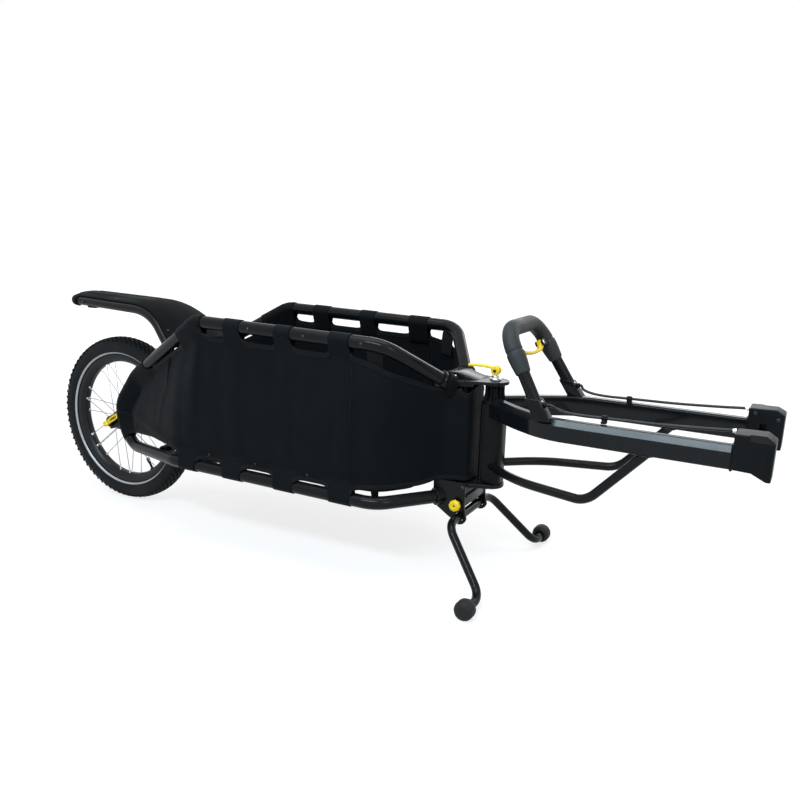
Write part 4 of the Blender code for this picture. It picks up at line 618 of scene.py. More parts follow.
UPPER_LEVEL = COLLAR_TOP + TONGUE_GAP + UPPER_TONGUE / 2
work = bmesh.new()
add_slab(work, tongue(0.046, NOSE_X - 0.016), UPPER_TONGUE, 0.0011, None, (0, 0, UPPER_LEVEL),
         [round_hole((HEAD_X, 0), 0.0064)])
add_block(work, (0.006, 0.070, 0.024), (NOSE_X - 0.003, 0, UPPER_LEVEL - 0.010))
for side in (-1, 1):
    add_socket(work, loop_corners(side), 0.028, 0.0035)
    add_block(work, (0.034, 0.0035, 0.008), (0.905, side * 0.034, UPPER_LEVEL - 0.005), 0.0008,
              Matrix.Rotation(side * math.radians(-13), 4, "Z"))
ramp = [(NOSE_X - 0.014, 0.0020), (NOSE_X + 0.046, 0.0020), (NOSE_X + 0.046, 0.0034),
        (NOSE_X + 0.010, 0.0138), (NOSE_X - 0.012, 0.0150), (NOSE_X - 0.014, 0.0140)]
add_slab(work, ramp, 0.052, 0.0014, UPRIGHT, (0, 0, UPPER_LEVEL))
fitted("upper_head_tongue", work, powder_coat, "frame", "frame_paint", "upper_head_bracket")

LOWER_LEVEL = POST_BOTTOM - 0.0004 - LOWER_TONGUE / 2
work = bmesh.new()
add_slab(work, tongue(0.052, NOSE_X - 0.016), LOWER_TONGUE, 0.0013, None, (0, 0, LOWER_LEVEL),
         [round_hole((HEAD_X, 0), 0.0064)])
top = 0.0175
edge = STAND_X + 0.0105
ear = [(NOSE_X - 0.022, top), (NOSE_X - 0.022, -0.031), (STAND_X - 0.019, STAND_Z - 0.004)]
ear += arc((STAND_X, STAND_Z), 0.015, 200, 350, 20) + [(edge, STAND_Z + 0.020), (edge, top)]
bore, button_hole = round_hole((STAND_X, STAND_Z), 0.0085), round_hole(RELEASE, 0.0055)
for side in (-1, 1):
    add_slab(work, ear, EAR_WALL, 0.0009, UPRIGHT, (0, side * EAR_HALF_SPAN, 0),
             [bore, button_hole] if side < 0 else [bore])
    add_socket(work, loop_corners(side)[::-1], 0.028, 0.0035)
tall = LOWER_LEVEL + 0.017 + 0.006
add_block(work, (0.005, 0.098, tall + 0.006), (edge - 0.0035, 0, LOWER_LEVEL - tall / 2 - 0.003))
add_block(work, (0.006, 0.094, 0.006), (edge - 0.0003, 0, LOWER_LEVEL - tall / 2 - 0.002), 0.0022)
add_block(work, (0.010, 0.098, tall + 0.004), (NOSE_X - 0.001, 0, LOWER_LEVEL - tall / 2 - 0.001))
fitted("lower_head_tongue", work, powder_coat, "frame", "frame_paint", "lower_head_bracket")

places = [((edge - 0.006, side * 0.0526, 0.009), (0, side, 0)) for side in (-1, 1)]
screws("head_bracket_screws", places, dark_steel, "frame", "bright_steel", 1.15)
work = bmesh.new()
for side in (-1, 1):
    bolt = [(0, 0.002), (0.0050, 0.002), (0.0050, 0.0068), (0.0030, 0.0070), (0.0030, 0.0105),
            (0.0024, 0.0110), (0, 0.0110)]
    add_turned(work, bolt, (NOSE_X + 0.006, side * 0.0355, UPPER_LEVEL), (0, 0, 1), 6, closed=False)
fitted("socket_clamp_nuts", closed_mesh(work, "nuts", 25), bright_zinc, "frame", "bright_steel")

# Rack: a bent tube hoop over the wheel, satin black, and the moulded mudguard deck on it.
# The deck is one thin crowned moulding that lies along the hoop from its tail to its feet.

HOOP_RADIUS, HOOP_LEVEL, HOOP_FOOT = 0.0095, 0.284, 0.248
DECK_TAIL, DECK_FRONT, DECK_LIFT = -0.115, 0.242, 0.0021

# The moulding's own dark grey is darkened further as painted shade, standing for the shadow that a load
# lying on the rack casts on the deck. The deck and the tail cap share it.
moulding_with_painted_shade = hard_finish("dark_grey_moulding", (0.0026, 0.0036, 0.0043), (0.50, 0.66),
                            scale=1500.0, stipple=0.85, bump=0.2, wear=0.2, dust=0.02,
                            worn=(0.012, 0.013, 0.014), specular=0.03)


def hoop_line():
    low, high = Vector(loop_corners(1)[3]), Vector(loop_corners(1)[2])
    slope = low.lerp(high, (HOOP_FOOT - low.x) / (high.x - low.x))
    half = [(HOOP_FOOT, slope.y - 0.0177, slope.z - 0.0163), (0.150, 0.060, HOOP_LEVEL - 0.006),
            (-0.121, 0.045, HOOP_LEVEL)]
    corners = [(x, -y, z) for x, y, z in half] + half[::-1]
    return rounded(corners, [0.150, 0.034, 0.034, 0.150], 4.0)


def deck_station(x):
    """The hoop's (half spread, centre height) at station x, and the way up off its legs there."""
    hoop = sorted((point for point in hoop_line() if point.y > 0), key=lambda point: point.x)
    run = [point.x for point in hoop]
    rise = np.interp((x - 0.006, x, x + 0.006), run, [point.z for point in hoop])
    spread = float(np.interp(x, run, [point.y for point in hoop]))
    return spread, float(rise[1]), Vector((rise[0] - rise[2], 0, 0.012)).normalized()


work = bmesh.new()
add_sweep(work, hoop_line(), HOOP_RADIUS)
for side in (-1, 1):
    add_block(work, (0.024, 0.0045, 0.016), (HOOP_FOOT + 0.004, side * 0.1053, 0.201), 0.0014,
              Matrix.Rotation(math.radians(-31), 4, "Y"))
fitted("bent_rack_hoop", work, powder_coat, "frame", "frame_paint", "rack_hoop")

# The sheet's edge is turned down a little, and two shallow ribs run along its tail.

def add_grid(work, grid, flat=None):
    """Faces over lines of points; flat gives each (line, place) a UV in metres."""
    made = [[work.verts.new(point) for point in line] for line in grid]
    for row in range(len(grid) - 1):
        for index in range(len(grid[row]) - 1):
            corners = ((row, index), (row + 1, index), (row + 1, index + 1), (row, index + 1))
            face = work.faces.new([made[line][place] for line, place in corners])
            if flat:
                for loop, corner in zip(face.loops, corners):
                    loop[work.loops.layers.uv["cloth"]].uv = flat(*corner)


half = [-1.0, -0.985, -0.95, -0.90, -0.82, -0.70, -0.58, -0.50, -0.44, -0.38, -0.30, -0.15]
across = half + [0.0] + [-value for value in half[::-1]]
lip_run = [DECK_TAIL + reach for reach in (0.015, 0.007, 0.0025, 0.0004, 0.0)]
rows = []
for x in list(np.linspace(DECK_FRONT, DECK_TAIL + 0.025, 52)) + lip_run:
    spread, level, up = deck_station(float(x))
    lip = max(0.0, 1 - (x - DECK_TAIL) / 0.008)
    ribbed = DECK_TAIL + 0.020 < x < 0.10
    row = []
    for value in across:
        height = HOOP_RADIUS + DECK_LIFT + 0.006 * (1 - abs(value) ** 2.5)
        height -= 0.0016 * max(0.0, (abs(value) - 0.95) / 0.05) ** 2 + 0.0016 * lip ** 2
        height += 0.0012 * math.exp(-((abs(value) - 0.44) / 0.05) ** 2) * ribbed
        row.append(Vector((x, (spread + 0.001) * value, level)) + up * height)
    rows.append(row)
work = bmesh.new()
add_grid(work, rows)
mesh = bpy.data.meshes.new("rack_deck")
work.to_mesh(mesh)
work.free()
deck = fitted("moulded_rack_deck", soft_shaded(mesh, 30), moulding_with_painted_shade, "frame", "moulding",
              "rack_deck")
wall = deck.modifiers.new("wall", "SOLIDIFY")
wall.thickness, wall.offset = 0.0026, 0.0
wall.use_even_offset = True

# A moulded cap is slipped over the hoop's tail, with a small lug at the front of each side.

tail = [point for point in hoop_line() if point.x < -0.050]
work = bmesh.new()
add_sweep(work, tail, [0.0112] + [0.0122] * (len(tail) - 2) + [0.0112])
for side in (-1, 1):
    place = Vector((-0.046, side * abs(tail[0].y), HOOP_LEVEL - HOOP_RADIUS - 0.0022))
    add_block(work, (0.026, 0.012, 0.0048), place, 0.0016)
fitted("moulded_tail_cap", closed_mesh(work, "tail_cap", 40), moulding_with_painted_shade, "frame", "moulding")

places = []
for x in (-0.104, -0.066):
    spread, level, up = deck_station(x)
    places += [((x, side * (spread + 0.0120), level), (0, side, 0)) for side in (-1, 1)]
for x in (0.030, 0.205):
    spread, level, up = deck_station(x)
    for side in (-1, 1):
        places.append((Vector((x, side * (spread - 0.009), level)) + up * (HOOP_RADIUS + 0.0048), up))
screws("deck_screws", places, dark_steel, "frame", "bright_steel", 0.75)

# Wheel: a 16 inch tyre with small tread blocks and a reflective line, on a black box rim laced
# with 28 crossed spokes to a small alloy hub.

SPOKE_COUNT, TREAD_COUNT, TYRE_STEPS = 28, 78, 128
RIM_INSIDE, TREAD_RADIUS = 0.1395, 0.1972
AXLE = (0, 0, 0), (0, 1, 0)

tyre_rubber = hard_finish("tyre_rubber", (0.0050, 0.0064, 0.0076), (0.55, 0.72), scale=1300.0,
                          stipple=0.7, bump=0.20, wear=0.4, dust=0.06, worn=(0.018, 0.019, 0.020),
                          specular=0.14)
reflective_line = hard_finish("reflective_line", (0.34, 0.35, 0.36), (0.30, 0.42), scale=2500.0,
                              stipple=0.9, bump=0.15, wear=0.0, dust=0.10, metallic=0.4)
rim_black = hard_finish("black_anodised_rim", (0.006, 0.007, 0.008), (0.26, 0.38), scale=800.0,
                        wear=0.3, dust=0.10, worn=(0.25, 0.25, 0.26))
spoke_steel = hard_finish("stainless_spokes", (0.36, 0.37, 0.38), (0.22, 0.34), scale=1200.0,
                          bump=0.04, wear=0.0, dust=0.06, metallic=1.0)
hub_alloy = hard_finish("black_alloy_hub", (0.008, 0.009, 0.010), (0.25, 0.38), wear=0.35,
                        dust=0.10, worn=(0.3, 0.3, 0.31))


def ring_tree():
    """Repeats a shape Count times round an Axis through Centre."""
    tree, given = growing_tree("ring of copies", ("Count", "Int"), ("Centre", "Vector"),
                               ("Axis", "Vector"))
    back = put(tree, "ShaderNodeVectorMath", {"operation": "SCALE"}, i0=given["Centre"], Scale=-1.0)
    centred = put(tree, "GeometryNodeTransform", Geometry=given["Geometry"],
                  Translation=back.outputs[0])
    copy = put(tree, "GeometryNodeGeometryToInstance", i0=centred.outputs[0])
    points = put(tree, "GeometryNodePoints", Count=given["Count"], Position=given["Centre"])
    share = reckoned(tree, "DIVIDE", 2 * math.pi, given["Count"])
    angle = reckoned(tree, "MULTIPLY", put(tree, "GeometryNodeInputIndex").outputs[0], share)
    turn = put(tree, "FunctionNodeAxisAngleToRotation", Axis=given["Axis"], Angle=angle)
    copies = put(tree, "GeometryNodeInstanceOnPoints", Points=points.outputs[0],
                 Instance=copy.outputs[0], Rotation=turn.outputs[0])
    return painted(tree, given, copies)


RING = ring_tree()


def ringed(work, name, count, finish, centre=(0, 0, 0), axis=(0, 1, 0), degrees=38):
    """The bmesh repeated round an axis, as a plain mesh."""
    holder = bpy.data.objects.new(name, closed_mesh(work, name, degrees))
    bpy.context.scene.collection.objects.link(holder)
    mesh = grown(holder, RING, Count=count, Centre=Vector(centre), Axis=Vector(axis), Finish=finish)
    return soft_shaded(mesh, degrees)


def curved(points, per_run=4):
    """Points on a smooth curve through the given ones."""
    points = [np.array(point, float) for point in points]
    ends = [2 * points[0] - points[1]] + points + [2 * points[-1] - points[-2]]
    line = []
    for p0, p1, p2, p3 in zip(ends, ends[1:], ends[2:], ends[3:]):
        for step in range(per_run):
            t = step / per_run
            line.append(0.5 * (2 * p1 + (p2 - p0) * t + (2 * p0 - 5 * p1 + 4 * p2 - p3) * t * t
                               + (3 * p1 - p0 - 3 * p2 + p3) * t ** 3))
    return [tuple(point) for point in line + [points[-1]]]


def mirrored(profile):
    """A half profile, up to its middle, and the same again on the other side of it."""
    return profile + [(radius, -reach) for radius, reach in profile[-2::-1]]


wall = curved([(0.1518, 0.0126), (0.1584, 0.0127), (0.1594, 0.0158), (0.1640, 0.0196),
               (0.1710, 0.0224), (0.1780, 0.0234), (0.1850, 0.0224), (0.1905, 0.0186),
               (0.1945, 0.0128), (0.1966, 0.0064), (0.1972, 0.0)], 4)
inner = [(0.1518, 0.0096), (0.1600, 0.0120), (0.1700, 0.0180), (0.1785, 0.0198), (0.1860, 0.0172),
         (0.1920, 0.0080), (0.1930, 0.0)]
work = bmesh.new()
add_turned(work, mirrored(wall) + mirrored(inner)[::-1], *AXLE, TYRE_STEPS)
for side in (-1, 1):
    for radius, height in ((0.1672, 0.0211), (0.1868, 0.0219)):
        add_turned(work, [(radius + 0.0007 * math.cos(a), side * (height + 0.0005 * math.sin(a)))
                          for a in np.linspace(0, 2 * math.pi, 9)[:-1]], *AXLE, TYRE_STEPS)
fitted("tyre_casing", work, tyre_rubber, "wheel", "tyre", "tyre")

work = bmesh.new()
for side in (-1, 1):
    band = [(r, side * (y + 0.00035)) for r, y in wall if 0.1600 < r < 0.1652]
    back = [(r, side * (y - 0.0004)) for r, y in wall if 0.1600 < r < 0.1652]
    add_turned(work, band + back[::-1], *AXLE, TYRE_STEPS)
fitted("reflective_sidewall_line", work, reflective_line, "wheel", "tyre")


def add_tread_block(work, along, across, length, width, skew, crown):
    """One tread block: its foot in the casing, its top edges chamfered."""
    def on_tread(a, b, up):
        radius = TREAD_RADIUS - 9.0 * b ** 2 + up
        lean = math.atan2(18.0 * b, 1.0)
        turn = a / TYRE_RADIUS
        return (radius * math.cos(turn), b + 0.6 * up * math.sin(lean), radius * math.sin(turn))

    rings = []
    for up, grow in ((-0.0012, 1.06), (crown - 0.0006, 0.98), (crown, 0.78)):
        ring = []
        for sa, sb in ((-1, -1), (1, -1), (1, 1), (-1, 1)):
            a = along + sa * grow * length / 2 + skew * sb * grow * width / 2
            ring.append(on_tread(a, across + sb * grow * width / 2, up))
        rings.append(ring)
    add_rings(work, rings)


half_pitch = math.pi * TYRE_RADIUS / TREAD_COUNT
work = bmesh.new()
for along, across, length, width, skew in (
        (0.0, 0.0, 0.0085, 0.0046, 0.0), (half_pitch, 0.0052, 0.0092, 0.0040, 0.35),
        (0.0, 0.0100, 0.0098, 0.0042, 0.30), (half_pitch, 0.0150, 0.0086, 0.0044, 0.20),
        (0.0, 0.0190, 0.0060, 0.0030, 0.0)):
    crown = 0.0015 if across > 0.012 else 0.0026
    for side in (1, -1) if across else (1,):
        add_tread_block(work, along, side * across, length, width, side * skew, crown)
fitted("tread_blocks", ringed(work, "tread_blocks", TREAD_COUNT, tyre_rubber), tyre_rubber, "wheel",
       "tyre")

half = curved([(0.1580, 0.0129), (0.1586, 0.0139), (0.1580, 0.0149)], 3)
half += [(0.1560, 0.0150), (0.1500, 0.0150), (0.1488, 0.0147), (0.1470, 0.0138), (0.1415, 0.0082),
         (0.1400, 0.0064), (RIM_INSIDE, 0.0040), (RIM_INSIDE, 0.0)]
inside = [(0.1516, 0.0129), (0.1512, 0.0120), (0.1496, 0.0060), (0.1494, 0.0)]
work = bmesh.new()
add_turned(work, mirrored(half) + mirrored(inside)[::-1], *AXLE, TYRE_STEPS)
fitted("box_section_rim", work, rim_black, "wheel", "rim_alloy", "rim")


def spoke_line(side, lean):
    """Flange hole and rim seat of the first spoke of one of the four groups."""
    step = 2 * math.pi / (SPOKE_COUNT // 2)
    hole = step * lean + 0.25 * step * side
    swing = 2.5 * step * (1 if lean else -1)
    head = side * (0.029 + (0.0012 if lean else -0.0012))
    reach, seat = 0.0195, RIM_INSIDE + 0.001
    return (Vector((reach * math.cos(hole), head, reach * math.sin(hole))),
            Vector((seat * math.cos(hole + swing / 2), side * 0.0035,
                    seat * math.sin(hole + swing / 2))))


spokes, nipples = bmesh.new(), bmesh.new()
for side in (-1, 1):
    for lean in (0, 1):
        start, seat = spoke_line(side, lean)
        out = Vector((0, side, 0)) * (0.0022 if lean else -0.0022)
        add_sweep(spokes, [start - out, start - out * 0.35, start, start.lerp(seat, 0.02), seat],
                  [0.0016] + [0.0010] * 4, 8)
        along = (seat - start).normalized()
        add_turned(nipples, [(0, -0.0110), (0.0016, -0.0110), (0.0018, -0.0104), (0.0018, -0.0020),
                             (0.0028, -0.0012), (0.0028, 0.0004), (0, 0.0004)], seat, along, 10,
                   closed=False)
fitted("crossed_spokes", ringed(spokes, "spokes", 7, spoke_steel, degrees=50), spoke_steel, "wheel",
       "hub_and_spokes")
fitted("spoke_nipples", ringed(nipples, "nipples", 7, bright_zinc), bright_zinc, "wheel",
       "bright_steel")

work = bmesh.new()
half = [(0.0087, 0.0377), (0.0128, 0.0377), (0.0134, 0.0370), (0.0135, 0.0320), (0.0145, 0.0311),
        (0.0218, 0.0307), (0.0225, 0.0300), (0.0225, 0.0282), (0.0218, 0.0274), (0.0150, 0.0270),
        (0.0134, 0.0250), (0.0122, 0.0200), (0.0115, 0.0100), (0.0114, 0.0)]
add_turned(work, mirrored(half), *AXLE, 48)
for side in (-1, 1):
    rim = [(0.0205, side * 0.0309), (0.0215, side * 0.0312), (0.0222, side * 0.0307)]
    add_turned(work, rim + [(0.0214, side * 0.0300)], *AXLE, 48)
fitted("flanged_hub", work, hub_alloy, "wheel", "hub_and_spokes", "laced_hub")

for name, side in SIDES.items():
    work = bmesh.new()
    ring = [(0.0052, 0.0297), (0.0082, 0.0297), (0.0082, 0.0373), (0.0074, 0.0377), (0.0069, 0.0372),
            (0.0060, 0.0372), (0.0057, 0.0377), (0.0052, 0.0377)]
    add_turned(work, [(radius, side * height) for radius, height in ring], *AXLE)
    fitted(f"sealed_bearing_{name}", work, bright_zinc, "wheel", "bright_steel",
           f"hub_bearing_{name}")

VALVE_TURN = math.radians(-58)
valve = Vector((math.cos(VALVE_TURN), 0, math.sin(VALVE_TURN)))
work = bmesh.new()
thread = [(0.0, -0.0260)]
for index in range(18):
    thread += [(0.00270, -0.0255 + 0.0011 * index), (0.0030, -0.02495 + 0.0011 * index)]
thread += [(0.0030, -0.002), (0.0030, 0.012), (0.0, 0.012)]
add_turned(work, thread, valve * RIM_INSIDE, valve, 16, closed=False)
nut = [(0.0032, -0.0022), (0.0056, -0.0022), (0.0060, -0.0016), (0.0060, 0.0), (0.0032, 0.0)]
add_turned(work, nut, valve * (RIM_INSIDE - 0.0002), valve, 6)
cap = [(0.0, -0.0302), (0.0026, -0.0302), (0.0036, -0.0292), (0.0041, -0.0275), (0.0041, -0.0182),
       (0.0036, -0.0178), (0.0, -0.0178)]
add_turned(work, cap, valve * RIM_INSIDE, valve, 18, closed=False)
fitted("threaded_valve", closed_mesh(work, "valve", 25), rim_black, "wheel", "moulding",
       "valve_stem")
frame["nodes"]["inner_tube"].data.materials[0] = tyre_rubber

# Swing arm: two bent plate arms that carry the wheel and turn on a shaft between the bottom
# tubes, with a coil spring over each arm and a quick-release skewer through the axle.

AXLE_HALF, ARM_WALL = 0.100 / 2, 0.006
ARM_OFFSET = AXLE_HALF + 0.0003 + ARM_WALL / 2
PIVOT = (0.232, BOTTOM_LEVEL)
SPRING_X, SPRING_LOW, SPRING_HIGH = 0.118, 0.0683, 0.1063
SPRING_RADIUS, SPRING_WIRE, SPRING_TURNS = 0.0083, 0.0012, 5
SLOT_TURN, SLOT_HALF, LINK_END = math.radians(-125), 0.0052, 0.0155

lever_yellow = hard_finish("yellow_lever_nylon", (0.80, 0.53, 0.012), (0.30, 0.42), scale=1100.0,
                           bump=0.06, wear=0.25, dust=0.06, worn=(0.55, 0.38, 0.06), coat=0.2)
hard_nylon = hard_finish("black_glass_filled_nylon", (0.0031, 0.0041, 0.0049), (0.34, 0.48),
                         scale=1400.0, stipple=0.8, bump=0.14, wear=0.25, dust=0.03,
                         worn=(0.022, 0.023, 0.024), specular=0.09)


def bent_link(first, first_radius, elbow, elbow_radius, last, last_radius, steps):
    """The outline round three circles of a link that is bent upwards at its elbow."""
    first, elbow, last = Vector(first), Vector(elbow), Vector(last)
    rise, fall = elbow - first, last - elbow
    up, down = (math.degrees(math.atan2(way.y, way.x)) for way in (rise, fall))
    rear = math.degrees(math.acos((first_radius - elbow_radius) / rise.length))
    fore = math.degrees(math.acos((elbow_radius - last_radius) / fall.length))
    outline = arc(first, first_radius, up + rear, up + 360 - rear, steps)
    sides = []
    for centre, radius, angle in ((first, first_radius, up - rear), (last, last_radius, down - fore)):
        normal = Vector((math.cos(math.radians(angle)), math.sin(math.radians(angle))))
        sides.append((normal, normal.dot(centre) + radius))
    (a, p), (b, q) = sides
    turn = a.x * b.y - a.y * b.x
    inner = Vector(((p * b.y - q * a.y) / turn, (a.x * q - b.x * p) / turn))
    outline += [tuple(inner + (Vector(outline[-1]) - inner).normalized() * 0.008),
                tuple(inner + Vector((0.0005, -0.0012))),
                tuple(inner + (last + b * last_radius - inner).normalized() * 0.008)]
    outline += arc(last, last_radius, down - fore, down + fore, steps)
    return outline + arc(elbow, elbow_radius, down + fore, up + rear, steps)


def slotted(outline):
    """Cuts the axle's open slot, SLOT_TURN round from forwards, into the link's rear end."""
    way = Vector((math.cos(SLOT_TURN), math.sin(SLOT_TURN)))
    side = Vector((-way.y, way.x))
    kept = [point for point in outline if not (abs(side.dot(point)) < SLOT_HALF
                                               and way.dot(point) > 0 and Vector(point).length < 0.020)]

    def opening(index):
        near = max(Vector(kept[index]).length, Vector(kept[index - 1]).length) < LINK_END + 0.001
        return (Vector(kept[index]) - Vector(kept[index - 1])).length if near else 0

    gap = max(range(len(kept)), key=opening)
    reach = math.sqrt(LINK_END ** 2 - SLOT_HALF ** 2)
    entry = [way * reach - side * SLOT_HALF, way * reach + side * SLOT_HALF]
    entry.sort(key=lambda point: (point - Vector(kept[gap - 1])).length)
    first = side * side.dot(entry[0])
    turn = math.degrees(math.atan2(first.y, first.x))
    seat = arc((0, 0), SLOT_HALF, turn, turn + math.copysign(180, side.dot(first)), 12)
    return kept[:gap] + [tuple(entry[0])] + seat + [tuple(entry[1])] + kept[gap:]


outline = slotted(bent_link((0, 0), LINK_END, (0.102, 0.042), 0.019, PIVOT, 0.015, 14))
for name, side in SIDES.items():
    work = bmesh.new()
    add_slab(work, outline, ARM_WALL, 0.0012, UPRIGHT, (0, side * ARM_OFFSET, 0))
    add_turned(work, [(0.0, 0.0), (0.0100, 0.0), (0.0115, 0.0015), (0.0115, 0.0245), (0.0108, 0.026),
                      (0.0, 0.026)], (SPRING_X, side * ARM_OFFSET, 0.042), (0, 0, 1), 32, closed=False)
    boss = [(0.0085, -0.009), (0.0118, -0.009), (0.0125, -0.0082), (0.0125, 0.0082), (0.0118, 0.009),
            (0.0085, 0.009)]
    add_turned(work, boss, (PIVOT[0], side * ARM_OFFSET, PIVOT[1]), (0, 1, 0), 36)
    ring = [(0.0126, -0.0035), (0.0142, -0.0032), (0.0142, 0.0032), (0.0126, 0.0035)]
    add_turned(work, ring, (PIVOT[0], side * ARM_OFFSET, PIVOT[1]), (0, 1, 0), 36)
    fitted(f"bent_swing_arm_{name}", work, powder_coat, "swing_arm", "frame_paint",
           f"swing_arm_{name}")

work = bmesh.new()
half = [(0.0029, 0.0550), (0.0044, 0.0550), (0.0048, 0.0546), (0.0048, 0.0498), (0.0092, 0.0496),
        (0.0095, 0.0490), (0.0095, 0.0452), (0.0090, 0.0447), (0.0060, 0.0446), (0.0048, 0.0420),
        (0.0048, 0.0)]
add_turned(work, mirrored(half), *AXLE)
fitted("hollow_wheel_axle", work, bright_zinc, "swing_arm", "bright_steel", "wheel_axle")


def spring_line(side):
    """One unbroken coil from the arm's cup to the seat above, its end turns lying flat."""
    low, high = SPRING_LOW + SPRING_WIRE, SPRING_HIGH - SPRING_WIRE
    line = []
    for share in np.linspace(0, 1, 26 * SPRING_TURNS + 1):
        eased = share - 0.34 * math.sin(2 * math.pi * share) / (2 * math.pi)
        turn = 2 * math.pi * SPRING_TURNS * share
        line.append((SPRING_X + SPRING_RADIUS * math.cos(turn),
                     side * ARM_OFFSET + SPRING_RADIUS * math.sin(turn), low + (high - low) * eased))
    return line


for name, side in SIDES.items():
    work = bmesh.new()
    add_sweep(work, spring_line(side), SPRING_WIRE, 10)
    coil = fitted(f"coil_spring_{name}", work, bright_zinc, "frame", "bright_steel",
                  f"suspension_spring_{name}")
    top = FIT @ Vector((SPRING_X, side * ARM_OFFSET, SPRING_HIGH))
    up = FIT.to_3x3() @ Vector((0, 0, 1))
    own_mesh(coil)

    work = bmesh.new()
    low = SPRING_HIGH + 0.0003
    add_turned(work, [(0.0, 0.0), (0.0108, 0.0), (0.0115, 0.0008), (0.0115, 0.0052), (0.0106, 0.006),
                      (0.0, 0.006)], (SPRING_X, side * ARM_OFFSET, low), (0, 0, 1), 32, closed=False)
    add_block(work, (0.018, 0.020, 0.011), (SPRING_X, side * (ARM_OFFSET + 0.0045), low + 0.0110),
              0.0016)
    fitted(f"spring_top_seat_{name}", work, powder_coat, "frame", "frame_paint",
           f"spring_seat_{name}")

heel, rail = Vector(loop_corners(1)[5]), Vector(loop_corners(1)[6])
middle = heel.lerp(rail, (PIVOT[0] - heel.x) / (rail.x - heel.x)).y
for name, side in SIDES.items():
    work = bmesh.new()
    near, far = middle - 0.034, middle - 0.009
    boss = [(0.0083, near), (0.0113, near), (0.0120, near + 0.0008), (0.0120, far), (0.0083, far)]
    add_turned(work, [(radius, side * reach) for radius, reach in boss],
               (PIVOT[0], 0, PIVOT[1]), (0, 1, 0), 36)
    fitted(f"pivot_tube_boss_{name}", work, powder_coat, "frame", "frame_paint",
           f"pivot_boss_{name}")
work = bmesh.new()
reach = middle - FRAME_TUBE_RADIUS - 0.005
add_turned(work, [(0, -reach), (0.0072, -reach), (0.0080, 0.0008 - reach), (0.0080, reach - 0.0008),
                  (0.0072, reach), (0, reach)], (PIVOT[0], 0, PIVOT[1]), (0, 1, 0), 32, closed=False)
fitted("pivot_shaft", work, bright_zinc, "frame", "bright_steel", "swing_pivot_shaft")

# Quick release: a steel skewer through the axle, a dark cup and a yellow cam lever on the right,
# a cone nut on the left. The lever folds on its cam barrel.

FACE = AXLE_HALF + 0.0006 + ARM_WALL
CAM = FACE + 0.0115
LEVER_TURN = math.radians(33)


def add_lever(work, length):
    """A cam lever along +X, waisted and bowed, its edges rolled over."""
    rim = 0.0045 / 2
    rows = []
    for share in np.linspace(0, 1, 25):
        x = 0.004 + (length - 0.004) * share
        width = 0.012 * (0.42 + 0.09 * math.sin(math.pi * share) + 0.03 * share)
        if share > 0.90:
            width *= math.sqrt(max(0.02, 1 - ((share - 0.90) / 0.10) ** 2))
        bow = 0.0022 * math.sin(math.pi * share)
        ring = []
        for across, up in ((1, 0.25), (0.92, 0.8), (0.78, 1.0), (0.55, 0.86), (0, 0.80), (-0.55, 0.86),
                           (-0.78, 1.0), (-0.92, 0.8), (-1, 0.25), (-1, -0.45), (-0.85, -0.95),
                           (0, -1.0), (0.85, -0.95), (1, -0.45)):
            ring.append((x, across * width, bow + up * rim))
        rows.append(ring)
    add_rings(work, rows)


def cut_through(mesh, cutter, overlapping=False):
    """The mesh with the cutter's shape taken out of it; overlapping parts of it are fused first."""
    pieces = [bpy.data.objects.new("cut", mesh), bpy.data.objects.new("cutter", cutter)]
    for piece in pieces:
        bpy.context.scene.collection.objects.link(piece)
    step = pieces[0].modifiers.new("cut", "BOOLEAN")
    step.object, step.operation, step.solver = pieces[1], "DIFFERENCE", "EXACT"
    step.use_self = overlapping
    bpy.context.view_layer.update()
    graph = bpy.context.evaluated_depsgraph_get()
    made = bpy.data.meshes.new_from_object(pieces[0].evaluated_get(graph))
    for piece in pieces:
        bpy.data.objects.remove(piece)
    return soft_shaded(made, 35)


work = bmesh.new()
add_turned(work, [(0, -FACE - 0.0035), (0.0024, -FACE - 0.0035), (0.0024, FACE + 0.012),
                  (0, FACE + 0.012)], *AXLE, 20, closed=False)
fitted("skewer_rod", work, bright_zinc, "swing_arm", "bright_steel", "wheel_skewer")
work = bmesh.new()
cup = [(0.0027, FACE), (0.0098, FACE), (0.0101, FACE + 0.0008), (0.0097, FACE + 0.0036),
       (0.0090, FACE + 0.0041), (0.0027, FACE + 0.0041)]
add_turned(work, [(radius, -reach) for radius, reach in cup], *AXLE)
fitted("cam_cup", work, hard_nylon, "swing_arm", "moulding", "skewer_saddle")
work = bmesh.new()
cone = [(0, FACE), (0.0093, FACE), (0.0096, FACE + 0.0008), (0.0086, FACE + 0.009),
        (0.0075, FACE + 0.0118), (0.0055, FACE + 0.0140), (0, FACE + 0.0145)]
add_turned(work, cone, *AXLE, closed=False)
for index in range(10):
    turn = 2 * math.pi * index / 10
    add_block(work, (0.0014, 0.0070, 0.0022), (0.0090 * math.cos(turn), FACE + 0.0052,
                                               0.0090 * math.sin(turn)), 0.0005,
              Matrix.Rotation(-turn, 4, "Y"))
fitted("skewer_cone_nut", work, hard_nylon, "swing_arm", "moulding", "skewer_nut")

